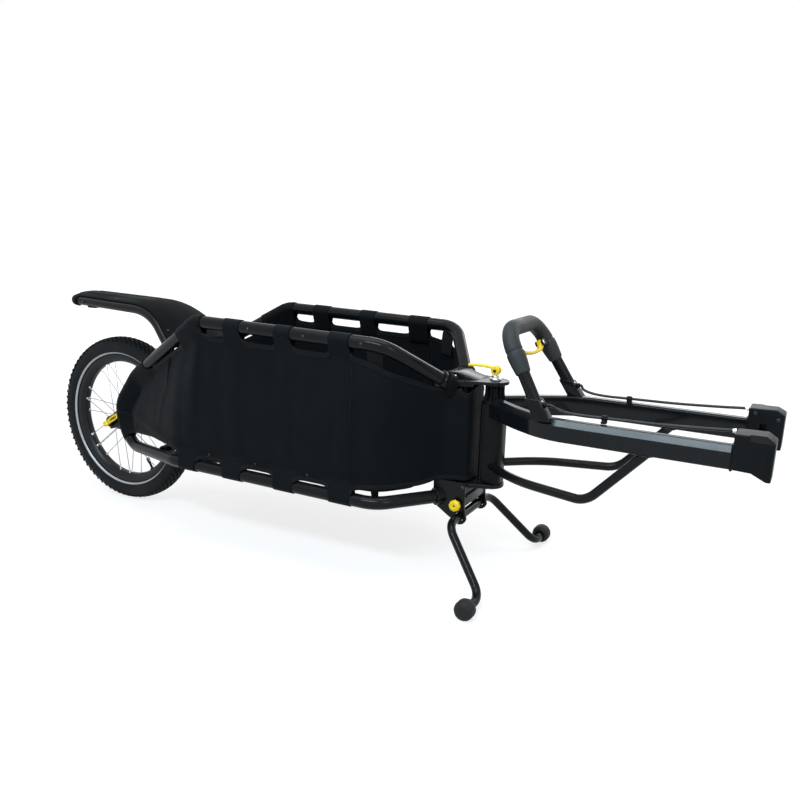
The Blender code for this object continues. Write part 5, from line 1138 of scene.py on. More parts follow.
work, window = bmesh.new(), bmesh.new()
add_lever(work, 0.050)
add_slab(window, arc((0.041, 0), 0.0020, -90, 90, 8) + arc((0.019, 0), 0.0020, 90, 270, 8), 0.02,
         0.0002)
arm = cut_through(closed_mesh(work, "lever"), closed_mesh(window, "window"))
arm.transform(Matrix.Translation((0, -CAM, 0)) @ Matrix.Rotation(-LEVER_TURN, 4, "Y")
              @ Matrix.Rotation(math.pi / 2, 4, "X"))
work = bmesh.new()
work.from_mesh(arm)
along = Vector((-math.sin(LEVER_TURN), 0, math.cos(LEVER_TURN)))
barrel = [(0, -0.0057), (0.0060, -0.0057), (0.0068, -0.0050), (0.0068, 0.0050), (0.0060, 0.0057),
          (0, 0.0057)]
add_turned(work, barrel, (0, -CAM, 0), along, 28, closed=False)
fitted("yellow_wheel_lever", work, lever_yellow, "wheel_lever", "yellow_nylon", "wheel_lever")

# Steering head: a hollow moulded post on a long steel pin, a ribbed collar above it, and a cam
# lever on the eye of the pin that draws the whole head tight between the two tongues.

POST_TOP, POST_LENGTH, POST_WIDTH, PIN_BORE = 0.168, 0.046, 0.040, 0.0065

post_moulding = hard_finish("satin_black_post", (0.0031, 0.0040, 0.0046), (0.26, 0.38), bump=0.08,
                            wear=0.15, specular=0.08)


def box_outline(length, width, corner, centre=(0, 0), steps=6):
    """A rectangle with rounded corners, counter-clockwise from its right-hand side."""
    outline = []
    for sx, sy, start in ((1, 1, 0), (-1, 1, 90), (-1, -1, 180), (1, -1, 270)):
        middle = (centre[0] + sx * (length / 2 - corner), centre[1] + sy * (width / 2 - corner))
        outline += arc(middle, corner, start, start + 90, steps)
    return outline


# A shallow square groove runs down the post's right-hand face.

outline = box_outline(POST_LENGTH, POST_WIDTH, 0.013, (HEAD_X, 0), 8)
outline = [(x, y) for x, y in outline if not (y < 0.0002 - POST_WIDTH / 2 and x < HEAD_X - 0.0088)]
place = max(index for index, point in enumerate(outline) if point[0] < HEAD_X - 0.012) + 1
outline[place:place] = [(HEAD_X - 0.0152, -POST_WIDTH / 2), (HEAD_X - 0.0147, 0.0014 - POST_WIDTH / 2),
                        (HEAD_X - 0.0093, 0.0014 - POST_WIDTH / 2), (HEAD_X - 0.0088, -POST_WIDTH / 2)]
work = bmesh.new()
add_slab(work, outline, POST_TOP - POST_BOTTOM, 0.0016, None, (0, 0, (POST_TOP + POST_BOTTOM) / 2),
         [round_hole((HEAD_X, 0), PIN_BORE)])
fitted("moulded_steering_post", closed_mesh(work, "post", 30), post_moulding, "tow_fork",
       "frame_paint", "steering_post")

low, high = POST_TOP + 0.0003, COLLAR_TOP
fin = bmesh.new()
side_view = curved([(0.0100, high - 0.0012), (0.0172, high - 0.0012), (0.0181, high - 0.0040),
                    (0.0184, (high + low) / 2), (0.0205, low + 0.0085), (0.0221, low + 0.0030)], 3)
add_slab(fin, [(r, z) for r, z in side_view] + [(0.0100, low + 0.0030)], 0.0024, 0.0007, UPRIGHT,
         (HEAD_X, 0, 0))
fins = ringed(fin, "collar_fins", 12, hard_nylon, (HEAD_X, 0, 0), (0, 0, 1))
work = bmesh.new()
work.from_mesh(fins)
skirt = [(0.0063, high), (0.0178, high), (0.0186, high - 0.0007), (0.0186, high - 0.0032),
         (0.0178, high - 0.0042), (0.0122, high - 0.0075), (0.0120, (high + low) / 2),
         (0.0145, low + 0.0085), (0.0216, low + 0.0036), (0.0224, low + 0.0028), (0.0224, low + 0.0006),
         (0.0218, low), (0.0063, low)]
add_turned(work, skirt, (HEAD_X, 0, 0), (0, 0, 1), 48)
fitted("ribbed_head_collar", closed_mesh(work, "collar", 35), hard_nylon, "tow_fork", "moulding",
       "head_collar")

tongue_top = UPPER_LEVEL + UPPER_TONGUE / 2
base = LOWER_LEVEL - LOWER_TONGUE / 2
neck = tongue_top + 0.0095
centre = neck + 0.0003 + 0.0085
work = bmesh.new()
pin = [(0, neck), (0.0066, neck), (0.0074, neck - 0.0008), (0.0074, tongue_top + 0.0048),
       (0.0098, tongue_top + 0.0042), (0.0105, tongue_top + 0.0034), (0.0105, tongue_top + 0.0010),
       (0.0098, tongue_top + 0.0004), (0.0060, tongue_top + 0.0003), (0.0060, base - 0.0003),
       (0.0092, base - 0.0003), (0.0095, base - 0.0010), (0.0095, base - 0.0062),
       (0.0088, base - 0.0070), (0, base - 0.0070)]
add_turned(work, pin, (HEAD_X, 0, 0), (0, 0, 1), 36, closed=False)
eye = [(-0.0055, -0.010), (0.0055, -0.010)] + arc((0, 0), 0.0055, 0, 180, 14)
add_slab(work, eye, 0.006, 0.0006, UPRIGHT, (HEAD_X, 0, centre))
fitted("head_pin_with_eye", work, bright_zinc, "frame", "bright_steel", "head_pin")
work = bmesh.new()
rod = [(0, -0.0086), (0.0024, -0.0086), (0.0030, -0.0081), (0.0030, -0.0074), (0.0025, -0.0070),
       (0.0025, 0.0070), (0.0030, 0.0074), (0.0030, 0.0081), (0.0024, 0.0086), (0, 0.0086)]
add_turned(work, rod, (HEAD_X, 0, centre), (0, 1, 0), 20, closed=False)
fitted("cam_cross_pin", work, dark_steel, "frame", "bright_steel")

work = bmesh.new()
add_lever(work, 0.056)
lever = closed_mesh(work, "lever")
lever.transform(Matrix.Translation((HEAD_X, 0, centre + 0.0045)) @ Matrix.Rotation(math.pi, 4, "Z"))
work = bmesh.new()
work.from_mesh(lever)
cam = [(0.0029, -0.0070), (0.0058, -0.0070), (0.0064, -0.0063), (0.0078, -0.0063), (0.0085, -0.0056),
       (0.0085, 0.0056), (0.0078, 0.0063), (0.0064, 0.0063), (0.0058, 0.0070), (0.0029, 0.0070)]
add_turned(work, cam, (HEAD_X, 0, centre), (0, 1, 0), 36)
window = bmesh.new()
add_block(window, (0.030, 0.0066, 0.030), (HEAD_X + 0.015 - 0.0062, 0, centre), 0.0004)
shape = cut_through(closed_mesh(work, "head_lever"), closed_mesh(window, "window"), True)
fitted("yellow_head_lever", shape, lever_yellow, "head_lever", "yellow_nylon", "head_lever")

# Tow fork: two bent rectangular aluminium arms out of the post, two thin round stays below them,
# and a moulded hitch block on each arm's end with a slot for the bicycle's axle stud.

ARM_LEVEL, ARM_HALF, ARM_WIDTH, ARM_HEIGHT, ARM_END = 0.1605, 0.100, 0.020, 0.038, 1.391
BLOCK_BACK, BLOCK_FRONT, BLOCK_TOP, BLOCK_WIDTH = 1.381, 1.438, 0.2012, 0.044
STAY_RADIUS, STAY_LEVEL, STAY_TOP = 0.008, 0.049, 0.1485
LATCH_LEVEL, LATCH_INSET, LATCH_BACK, LATCH_LENGTH = 0.1555, 0.013, 1.4027, 0.0245
FORWARDS = Matrix(((0, 0, 1, 0), (1, 0, 0, 0), (0, 1, 0, 0), (0, 0, 0, 1)))

arm_coat = hard_finish("gloss_black_arm_coat", (0.0036, 0.0048, 0.0058), (0.11, 0.18), scale=600.0,
                       bump=0.03, wear=0.15, coat=0.08, specular=0.13)


def add_profile(work, path, section):
    """A closed section swept along a level path: across it, then upwards."""
    rings = []
    for index, place in enumerate(path):
        along = (path[min(index + 1, len(path) - 1)] - path[max(index - 1, 0)]).normalized()
        across = Vector((-along.y, along.x, 0)).normalized()
        rings.append([place + across * a + Vector((0, 0, b)) for a, b in section])
    add_rings(work, rings)


def arm_outline(side):
    """The arm's section: a rounded box with a broad flat chamfer along its upper outer corner."""
    wide, tall, corner = ARM_WIDTH / 2, ARM_HEIGHT / 2, 0.004
    outline = arc((wide - corner, corner - tall), corner, -90, 0, 5)
    outline += [(wide, tall - 0.0106), (wide - 0.0050, tall - 0.0007), (wide - 0.0064, tall)]
    outline += arc((corner - wide, tall - corner), corner, 90, 180, 5)
    outline += arc((corner - wide, corner - tall), corner, 180, 270, 5)
    return outline if side > 0 else [(-a, b) for a, b in outline[::-1]]


def block_outline():
    return [(BLOCK_BACK, BLOCK_TOP - 0.003), (BLOCK_BACK + 0.0009, BLOCK_TOP - 0.0009),
            (BLOCK_BACK + 0.003, BLOCK_TOP), (BLOCK_FRONT - 0.014, BLOCK_TOP + 0.001),
            (BLOCK_FRONT - 0.0125, BLOCK_TOP + 0.0005), (BLOCK_FRONT - 0.0008, BLOCK_TOP - 0.0070),
            (BLOCK_FRONT, BLOCK_TOP - 0.0085), (BLOCK_FRONT - 0.0009, BLOCK_TOP - 0.0662),
            (BLOCK_FRONT - 0.0020, BLOCK_TOP - 0.0672), (BLOCK_FRONT - 0.0070, BLOCK_TOP - 0.0674),
            (BLOCK_FRONT - 0.0100, BLOCK_TOP - 0.0664), (BLOCK_FRONT - 0.0290, BLOCK_TOP - 0.0570),
            (BLOCK_BACK + 0.003, BLOCK_TOP - 0.0560), (BLOCK_BACK + 0.0006, BLOCK_TOP - 0.0555),
            (BLOCK_BACK, BLOCK_TOP - 0.0545)]


beads = bmesh.new()
for name, side in SIDES.items():
    corners = [(HEAD_X + 0.004, side * 0.012, ARM_LEVEL), (HEAD_X + 0.070, side * 0.063, ARM_LEVEL),
               (1.085, side * ARM_HALF, ARM_LEVEL), (ARM_END, side * ARM_HALF, ARM_LEVEL)]
    work = bmesh.new()
    add_profile(work, rounded(corners, [0.30, 0.13], 2.0), arm_outline(side))
    fitted(f"bent_tow_arm_{name}", closed_mesh(work, "tow_arm", 20), arm_coat, "tow_fork",
           "frame_paint", f"tow_arm_{name}")

    low, high = Vector((1.165, side * 0.109, STAY_LEVEL)), Vector((1.258, side * 0.099, STAY_TOP))
    corners = [(HEAD_X + 0.004, side * 0.012, STAY_LEVEL),
               (HEAD_X + 0.075, side * 0.072, STAY_LEVEL), low, high]
    ceiling = ARM_LEVEL - ARM_HEIGHT / 2
    line = [point for point in rounded(corners, [0.22, 0.045], 4.0) if point.z < ceiling + 0.004]
    last, joint = (high.lerp(low, (STAY_TOP - level) / (STAY_TOP - STAY_LEVEL))
                   for level in (ceiling + 0.004, ceiling))
    work = bmesh.new()
    add_sweep(work, line + [last], STAY_RADIUS)
    fitted(f"bent_lower_stay_{name}", work, powder_coat, "tow_fork", "frame_paint",
           f"lower_stay_{name}")
    steep = (high - low).normalized().z
    ring = []
    for index in range(32):
        turn = 2 * math.pi * index / 32
        ring.append(joint + Vector(((STAY_RADIUS + 0.0008) * math.cos(turn) / steep,
                                    (STAY_RADIUS + 0.0008) * math.sin(turn), -0.0004)))
    add_bead(beads, ring, 0.0015, 0.0003)

    # The block is cut out for its bevelled outer edge, the arm's end, the axle's slot, the latch
    # and a shadow line on its outer face.

    work = bmesh.new()
    add_slab(work, block_outline(), BLOCK_WIDTH, 0.0022, UPRIGHT, (0, side * ARM_HALF, 0))
    block = closed_mesh(work, "block", 30)
    inner, outer = ARM_HALF - BLOCK_WIDTH / 2, ARM_HALF + BLOCK_WIDTH / 2
    latch_place = side * (inner + LATCH_INSET)
    cutters = (
        ((0.060, 0.02, 0.02), (BLOCK_FRONT - 0.006, side * (outer + 0.003), BLOCK_TOP + 0.004), 38),
        ((0.05, ARM_WIDTH + 0.0006, ARM_HEIGHT + 0.0006),
         (ARM_END + 0.0003 - 0.025, side * ARM_HALF, ARM_LEVEL), 0),
        ((0.011, 0.054, 0.062), (1.406, side * inner, 0.145), 0),
        ((0.0308, 0.0106, 0.0076), (1.4214, latch_place, LATCH_LEVEL), 0),
        ((0.004, 0.0012, 0.040), (1.431, side * outer, 0.165), 0))
    for size, place, tilt in cutters:
        work = bmesh.new()
        add_block(work, size, place, 0.0003, Matrix.Rotation(math.radians(side * tilt), 4, "X"), 1)
        block = cut_through(block, closed_mesh(work, "cutter"))
    work = bmesh.new()
    work.from_mesh(block)
    lip = box_outline(ARM_WIDTH + 0.0060, ARM_HEIGHT + 0.0040, 0.0050)
    hole = box_outline(ARM_WIDTH + 0.0010, ARM_HEIGHT + 0.0010, 0.0042)
    add_slab(work, lip, 0.004, 0.0010, FORWARDS, (BLOCK_BACK - 0.0012, side * ARM_HALF, ARM_LEVEL),
             [hole])
    fitted(f"moulded_hitch_block_{name}", closed_mesh(work, "block", 30), hard_nylon, "tow_fork",
           "hitch_moulding", f"hitch_block_{name}")
    work = bmesh.new()
    add_block(work, (LATCH_LENGTH, 0.010, 0.007), (LATCH_BACK + LATCH_LENGTH / 2, latch_place,
                                                   LATCH_LEVEL), 0.0012)
    fitted(f"sliding_latch_{name}", work, bright_zinc, f"latch_{name}", "bright_steel",
           f"hitch_latch_{name}")
    places = [((x, side * (inner - 0.0001), level), (0, -side, 0))
              for x, level in ((1.392, 0.193), (1.428, 0.186))]
    screws(f"block_screws_{name}", places, dark_steel, "tow_fork", "bright_steel", 0.8)
fitted("stay_welds", closed_mesh(beads, "welds", 60), weld_paint, "tow_fork", "frame_paint")

# Handle: a tube bent to a leaning U, welded to feet on the tow arms, with a slipped-on soft grip
# whose lower ends swell into ringed boots.

LEAN = math.radians(30.5)
ARM_TOP = ARM_LEVEL + ARM_HEIGHT / 2
HANDLE_X, HANDLE_HALF, CROWN_HALF, CROWN_UP = 1.075, 0.099, 0.076, 0.154
HANDLE_NORMAL = Vector((math.cos(LEAN), 0, math.sin(LEAN)))
HANDLE_RADIUS, HANDLE_BEND = 0.0108, 0.044
GRIP_SWELL = ((0.0, 0.0120), (0.0008, 0.0131), (0.006, 0.0137), (0.018, 0.0152), (0.030, 0.0161),
              (0.0385, 0.0158), (0.0395, 0.0142), (0.0410, 0.0142), (0.0420, 0.0152),
              (0.060, 0.0147))

grip_rubber = hard_finish("soft_grip_rubber", (0.0130, 0.0160, 0.0165), (0.50, 0.64), scale=1700.0,
                          stipple=0.9, bump=0.22, wear=0.3, dust=0.06, worn=(0.04, 0.042, 0.042),
                          specular=0.30)


def handle_point(y, up):
    """A point in the handle's leaning plane, up along its slope from the arm's top."""
    return Vector((HANDLE_X - up * math.sin(LEAN), y, ARM_TOP + 0.003 + up * math.cos(LEAN)))


def handle_line(start):
    low = HANDLE_HALF - (HANDLE_HALF - CROWN_HALF) / CROWN_UP * start
    corners = [handle_point(-low, start), handle_point(-CROWN_HALF, CROWN_UP),
               handle_point(CROWN_HALF, CROWN_UP), handle_point(low, start)]
    return rounded(corners, [HANDLE_BEND, HANDLE_BEND], 4.0)


def read_off(curve, x):
    """The height at x of a line through (x, height) points."""
    return float(np.interp(x, *zip(*curve)))


def finely(points, longest=0.002):
    path = [points[0]]
    for before, after in zip(points, points[1:]):
        count = max(1, math.ceil((after - before).length / longest))
        path += [before.lerp(after, step / count) for step in range(1, count + 1)]
    return path


work = bmesh.new()
add_sweep(work, handle_line(-0.002), HANDLE_RADIUS, 28)
fitted("bent_handle_tube", work, powder_coat, "tow_fork", "frame_paint", "handle_tube")

path = finely(handle_line(0.074))
lengths = [0.0]
for before, after in zip(path, path[1:]):
    lengths.append(lengths[-1] + (after - before).length)
radii = [read_off(GRIP_SWELL, min(run, lengths[-1] - run)) for run in lengths]
work = bmesh.new()
add_sweep(work, path, radii, 36)
fitted("soft_handle_grip", work, grip_rubber, "tow_fork", "soft_rubber", "handle_grip")

# Each foot is a boxed sleeve, welded on the arm, that leans with the leg that it holds.

FOOT_HEIGHT, FOOT_SUNK, FOOT_WIDTH = 0.028, 0.006, 0.0228
FOOT_REACH, TOE_REACH, FOOT_SHIFT = 0.0128, 0.0155, 0.0018
INWARD = (HANDLE_HALF - CROWN_HALF) / (CROWN_UP * math.cos(LEAN))
beads = bmesh.new()
for name, side in SIDES.items():
    outline = [(HANDLE_X + FOOT_SHIFT + reach - up * math.tan(LEAN), ARM_TOP + up) for up, reach in (
        (-FOOT_SUNK, -FOOT_REACH), (-FOOT_SUNK, TOE_REACH + 0.001), (0.0, TOE_REACH),
        (FOOT_HEIGHT, FOOT_REACH), (FOOT_HEIGHT, -FOOT_REACH))]
    work = bmesh.new()
    add_slab(work, outline, FOOT_WIDTH, 0.0012, UPRIGHT, (0, side * HANDLE_HALF, 0))
    for corner in work.verts:
        corner.co.y -= side * INWARD * (corner.co.z - ARM_TOP)
    fitted(f"handle_foot_{name}", work, powder_coat, "tow_fork", "frame_paint",
           f"handle_bracket_{name}")
    middle = handle_point(side * (HANDLE_HALF - INWARD * FOOT_HEIGHT),
                          (FOOT_HEIGHT - 0.0030) / math.cos(LEAN))
    ring = []
    for index in range(36):
        turn = 2 * math.pi * index / 36
        ring.append(middle + Vector(((HANDLE_RADIUS + 0.0010) / math.cos(LEAN) * math.cos(turn),
                                     (HANDLE_RADIUS + 0.0006) * math.sin(turn), 0.0)))
    add_bead(beads, ring, 0.0010, 0.0002)
fitted("handle_welds", closed_mesh(beads, "welds", 60), weld_paint, "tow_fork", "frame_paint")
falling = TOE_REACH - FOOT_REACH + FOOT_HEIGHT * math.tan(LEAN)
places = []
for share in (0.66, 0.88):
    for side in (-1, 1):
        place = (HANDLE_X + FOOT_SHIFT + TOE_REACH - share * falling,
                 side * (HANDLE_HALF - INWARD * share * FOOT_HEIGHT), ARM_TOP + share * FOOT_HEIGHT)
        places.append((place, (FOOT_HEIGHT, 0, falling)))
screws("handle_foot_screws", places, bright_zinc, "tow_fork", "bright_steel", 0.45)

# Release trigger: a yellow curved finger lever on a steel pin under the grip's left leg. Its two
# cables leave the legs, run along the arms through clips, and end in chromed stops at the blocks.

TURN = Matrix.Rotation(-LEAN, 4, "Y") @ FORWARDS
HINGE_PIN_RADIUS, HINGE_BORE_RADIUS = 0.0025, 0.0029
CLIP_X = 1.180
hinge = handle_point(0.046, 0.112)
work = bmesh.new()
lower = curved([(0.004, -0.0070), (-0.010, -0.0128), (-0.030, -0.0145), (-0.060, -0.0135),
                (-0.088, -0.0090), (-0.0975, -0.0050), (-0.0998, -0.0020)], 4)
upper = curved([(-0.0990, -0.0004), (-0.0950, -0.0008), (-0.084, -0.0035), (-0.058, -0.0075),
                (-0.030, -0.0080), (-0.012, -0.0040), (-0.004, 0.0055)], 4)
add_slab(work, [(0.0060, 0.0)] + lower + upper, 0.0080, 0.0018, TURN, hinge)
ring = [(HINGE_BORE_RADIUS, -0.0040), (0.0060, -0.0040), (0.0066, -0.0033), (0.0066, 0.0033),
        (0.0060, 0.0040), (HINGE_BORE_RADIUS, 0.0040)]
add_turned(work, ring, hinge, HANDLE_NORMAL, 28)
drill = bmesh.new()
add_turned(drill, [(0, -0.02), (HINGE_BORE_RADIUS, -0.02), (HINGE_BORE_RADIUS, 0.02), (0, 0.02)],
           hinge, HANDLE_NORMAL, 20, closed=False)
shape = cut_through(closed_mesh(work, "trigger", 30), closed_mesh(drill, "drill"), True)
fitted("yellow_release_trigger", shape, lever_yellow, "trigger", "yellow_nylon", "release_trigger")
work = bmesh.new()
pin = [(0, -0.0086), (0.0030, -0.0086), (0.0036, -0.0082), (0.0036, -0.0076),
       (HINGE_PIN_RADIUS, -0.0074), (HINGE_PIN_RADIUS, 0.0074), (0.0036, 0.0076), (0.0036, 0.0082),
       (0.0030, 0.0086), (0, 0.0086)]
add_turned(work, pin, hinge, HANDLE_NORMAL, 20, closed=False)
fitted("trigger_hinge_pin", work, bright_zinc, "tow_fork", "bright_steel", "trigger_pin")
work = bmesh.new()
cheek = [(0.028, -0.0075), (0.028, 0.0075)] + arc((0, 0), 0.0062, 100, 260, 14)
for lift in (-0.00620, 0.00620):
    add_slab(work, cheek, 0.0030, 0.0008, TURN, hinge + HANDLE_NORMAL * lift)
add_slab(work, [(0.0105, -0.0075), (0.028, -0.0075), (0.028, 0.0075), (0.0105, 0.0075)], 0.0120,
         0.0006, TURN, hinge)
fitted("trigger_hinge_bracket", work, hard_nylon, "tow_fork", "moulding", "trigger_bracket")

cable_skin = hard_finish("black_cable_housing", (0.0060, 0.0068, 0.0074), (0.34, 0.46), bump=0.06,
                         wear=0.2, specular=0.3)
for name, side in SIDES.items():
    inward = side * (ARM_HALF - 0.013)
    leave = handle_point(side * (ARM_HALF - 0.004), 0.011) + HANDLE_NORMAL * 0.0128
    route = [leave, leave + HANDLE_NORMAL * 0.006 + Vector((0.002, 0, -0.002))]
    route += [(x, inward, ARM_TOP + lift) for x, lift in (
        (1.0950, 0.0148), (1.1120, 0.0098), (1.1400, 0.0080), (CLIP_X, 0.0090), (1.260, 0.0110),
        (1.330, 0.0150), (1.369, 0.0180), (1.3807, 0.0185))]
    work = bmesh.new()
    add_sweep(work, curved(route, 6), 0.0025, 16)
    fitted(f"release_cable_housing_{name}", work, cable_skin, "tow_fork", "cable_housing",
           f"release_cable_{name}")
    work = bmesh.new()
    stop = [(0.0026, -0.0060), (0.0030, -0.0058), (0.0031, -0.0034), (0.0036, -0.0032),
            (0.0036, -0.0006), (0.0026, -0.0003)]
    add_turned(work, stop, route[-1], (1, 0, 0.03), 24)
    fitted(f"cable_stop_{name}", closed_mesh(work, "stop", 30), bright_zinc, "tow_fork",
           "bright_steel")
    work = bmesh.new()
    band = [(0.0028, -0.0045), (0.0042, -0.0045), (0.0047, -0.0038), (0.0047, 0.0038),
            (0.0042, 0.0045), (0.0028, 0.0045)]
    add_turned(work, band, (CLIP_X, inward, ARM_TOP + 0.0090), (1, 0, 0), 28)
    add_block(work, (0.009, 0.0105, 0.0046), (CLIP_X, inward + side * 0.002, ARM_TOP + 0.0026),
              0.0012)
    ring = [(0.0027, -0.001), (0.0046, -0.001), (0.0048, 0.0006), (0.0040, 0.0042), (0.0032, 0.0052),
            (0.0027, 0.0052)]
    add_turned(work, ring, leave, HANDLE_NORMAL, 20)
    fitted(f"cable_clip_band_{name}", work, hard_nylon, "tow_fork", "moulding",
           f"cable_clip_{name}")
places = [((CLIP_X, side * (ARM_HALF - 0.0072), ARM_TOP + 0.0050), (0, 0, 1)) for side in (-1, 1)]
screws("cable_clip_screws", places, dark_steel, "tow_fork", "bright_steel", 0.55)

# Stand: one steel bar bent into two splayed legs that fold back under the nose, a rubber roller
# on each toe, and a sprung yellow push button that lets it go.

ROLLER_X, ROLLER_RADIUS, ROLLER_HALF_SPAN, ROLLER_HALF = 0.998, 0.018, 0.200, 0.014
ROLLER_LEVEL = (ROLLER_RADIUS - TYRE_RADIUS + math.sin(TILT) * ROLLER_X) / math.cos(TILT)

foot_rubber = hard_finish("foot_rubber", (0.0060, 0.0068, 0.0072), (0.52, 0.68), scale=1500.0,
                          stipple=0.9, bump=0.22, wear=0.4, dust=0.10, worn=(0.025, 0.026, 0.027),
                          specular=0.25)

leg = [(STAND_X, 0.097, STAND_Z), (1.0025, 0.145, ROLLER_LEVEL), (ROLLER_X, 0.208, ROLLER_LEVEL)]
corners = [(x, -y, z) for x, y, z in leg[::-1]] + leg
work = bmesh.new()
add_sweep(work, rounded(corners, [0.034] * 4, 4.0), 0.008, 28)
fitted("bent_stand_legs", work, powder_coat, "stand", "frame_paint", "stand_legs")

for name, side in SIDES.items():
    low, high = ROLLER_HALF_SPAN - ROLLER_HALF, ROLLER_HALF_SPAN + ROLLER_HALF
    half = [(0, high), (0.0080, high), (0.0120, high - 0.0006), (0.0158, high - 0.0028),
            (0.0175, high - 0.0060)]
    tread = [(ROLLER_RADIUS, high - 0.0085), (ROLLER_RADIUS, low + 0.0175), (0.0172, low + 0.0168),
             (0.0172, low + 0.0152), (ROLLER_RADIUS, low + 0.0145), (ROLLER_RADIUS, low + 0.0085)]
    shoulder = [(0.0175, low + 0.0060), (0.0158, low + 0.0028), (0.0120, low + 0.0006),
                (0.0096, low), (0.0088, low + 0.0008), (0.0088, low + 0.0200), (0, low + 0.0200)]
    work = bmesh.new()
    add_turned(work, [(r, side * reach) for r, reach in half + tread + shoulder],
               (ROLLER_X, 0, ROLLER_LEVEL), (0, 1, 0), 44, closed=False)
    fitted(f"rubber_roller_{name}", closed_mesh(work, "roller", 34), foot_rubber, "stand",
           "soft_rubber", f"stand_foot_{name}")
    work = bmesh.new()
    washer = [(0.0084, low - 0.0030), (0.0128, low - 0.0028), (0.0128, low - 0.0010),
              (0.0084, low - 0.0008)]
    add_turned(work, [(r, side * reach) for r, reach in washer], (ROLLER_X, 0, ROLLER_LEVEL),
               (0, 1, 0), 28)
    fitted(f"roller_washer_{name}", work, hard_nylon, "stand", "soft_rubber")

face = EAR_HALF_SPAN + EAR_WALL / 2
knob = [(0.0024, -face - 0.0100), (0.0024, -face - 0.0143), (0.0075, -face - 0.0143),
        (0.0105, -face - 0.0132), (0.0115, -face - 0.0112), (0.0115, -face - 0.0062),
        (0.0105, -face - 0.0052), (0.0050, -face - 0.0047), (0.0050, -face + 0.0058),
        (0, -face + 0.0060)]
work = bmesh.new()
add_turned(work, knob + [(0, -face - 0.0100)], (RELEASE[0], 0, RELEASE[1]), (0, 1, 0), 8,
           closed=False)
shape = closed_mesh(work, "knob", 25)
holder = bpy.data.objects.new("knob", shape)
bpy.context.scene.collection.objects.link(holder)
edge = holder.modifiers.new("edge", "BEVEL")
edge.width, edge.segments, edge.limit_method, edge.angle_limit = 0.0009, 3, "ANGLE", math.radians(20)
bpy.context.view_layer.update()
graph = bpy.context.evaluated_depsgraph_get()
shape = bpy.data.meshes.new_from_object(holder.evaluated_get(graph))
bpy.data.objects.remove(holder)
fitted("yellow_release_button", soft_shaded(shape, 30), lever_yellow, "stand_release",
       "yellow_nylon", "stand_release_button")

# Cargo bag: coated black canvas, open on top. One long wall runs from the right heel round the
# nose to the left heel and wraps the side frames in sewn loops and four long sleeves; a floor
# and a back wall in front of the wheel are sewn in between.

CLOTH_WALL = 0.0012
CLOTH_RADIUS = FRAME_TUBE_RADIUS + 0.0003 + CLOTH_WALL / 2
TAIL, BAG_REAR, HEM = 0.034, 0.262, 0.007
SLEEVE = (0.314, 0.390)
TOP_LOOPS = [(0.447, 0.487), (0.5705, 0.607), (0.692, 0.736)]
BOTTOM_LOOPS = [(0.3205, 0.3647), (0.437, 0.4834), (0.5656, 0.611), (0.694, 0.7407)]
NOSE_PLAN = [(0.865, 0.0654), (0.877, 0.0500), (0.889, 0.0440), (0.901, 0.0400), (0.910, 0.0375),
             (0.9160, 0.0335), (0.9188, 0.0270), (0.9198, 0.0180), (0.9200, 0.0090), (0.9200, 0.0)]
TOP_GAP = [(0.12, 0.018), (0.169, 0.0152), (0.24, 0.0152), (0.314, 0.020), (0.39, 0.027),
           (0.42, 0.0285), (0.70, 0.0285), (0.74, 0.027)]
BOTTOM_GAP = [(0.08, 0.020), (0.12, 0.033), (0.20, 0.036), (0.29, 0.028), (0.3205, 0.0180),
              (0.3647, 0.0168), (0.75, 0.0168)]
TOP_HEM = [(0.7395, 0.2525), (0.775, 0.2457), (0.7976, 0.2409), (0.8268, 0.2227), (0.8413, 0.2134),
           (0.8531, 0.2055), (0.865, 0.1983)]
BOTTOM_HEM = [(0.7455, 0.0035), (0.7775, 0.0090), (0.81, 0.0097), (0.84, 0.0090), (0.8545, 0.0120),
              (0.865, 0.0175)]
NOSE_HEM = [(0, 0.1975), (0.25, 0.1905), (0.45, 0.1845), (0.60, 0.1880), (0.75, 0.1945), (1, 0.1960)]
FLOOR_LINE = [(0.26, 0.0035), (0.83, 0.0035), (0.862, 0.0180), (0.912, 0.0195)]


def weave_group():
    """Crossed threads on a UV in metres: Height for a bump and Tone for the colour."""
    group, given, out = shader_group("woven cloth", [("Vector", None), ("Pitch", 0.0009)],
                                     ["Height", "Tone"])
    place = given.outputs["Vector"]
    wobble = put(group, "ShaderNodeTexNoise", Vector=place, Scale=160.0, Detail=2.0)
    shift = put(group, "ShaderNodeVectorMath", {"operation": "MULTIPLY_ADD"},
                i0=wobble.outputs["Color"], i1=(0.0006, 0.0006, 0.0), i2=place)
    parts = put(group, "ShaderNodeSeparateXYZ", Vector=shift.outputs[0])
    turns = reckoned(group, "DIVIDE", math.pi, given.outputs["Pitch"])
    waves = []
    for axis in ("X", "Y"):
        wave = reckoned(group, "SINE", reckoned(group, "MULTIPLY", parts.outputs[axis], turns))
        waves.append(reckoned(group, "ABSOLUTE", wave))
    threads = reckoned(group, "MULTIPLY", *waves)
    cloud = put(group, "ShaderNodeTexNoise", Vector=place, Scale=9.0, Detail=5.0, Roughness=0.6)
    tone = reckoned(group, "MULTIPLY_ADD", threads, 0.35, cloud.outputs["Fac"], clamp=True)
    group.links.new(threads, out.inputs["Height"])
    group.links.new(tone, out.inputs["Tone"])
    return group


WEAVE = weave_group()


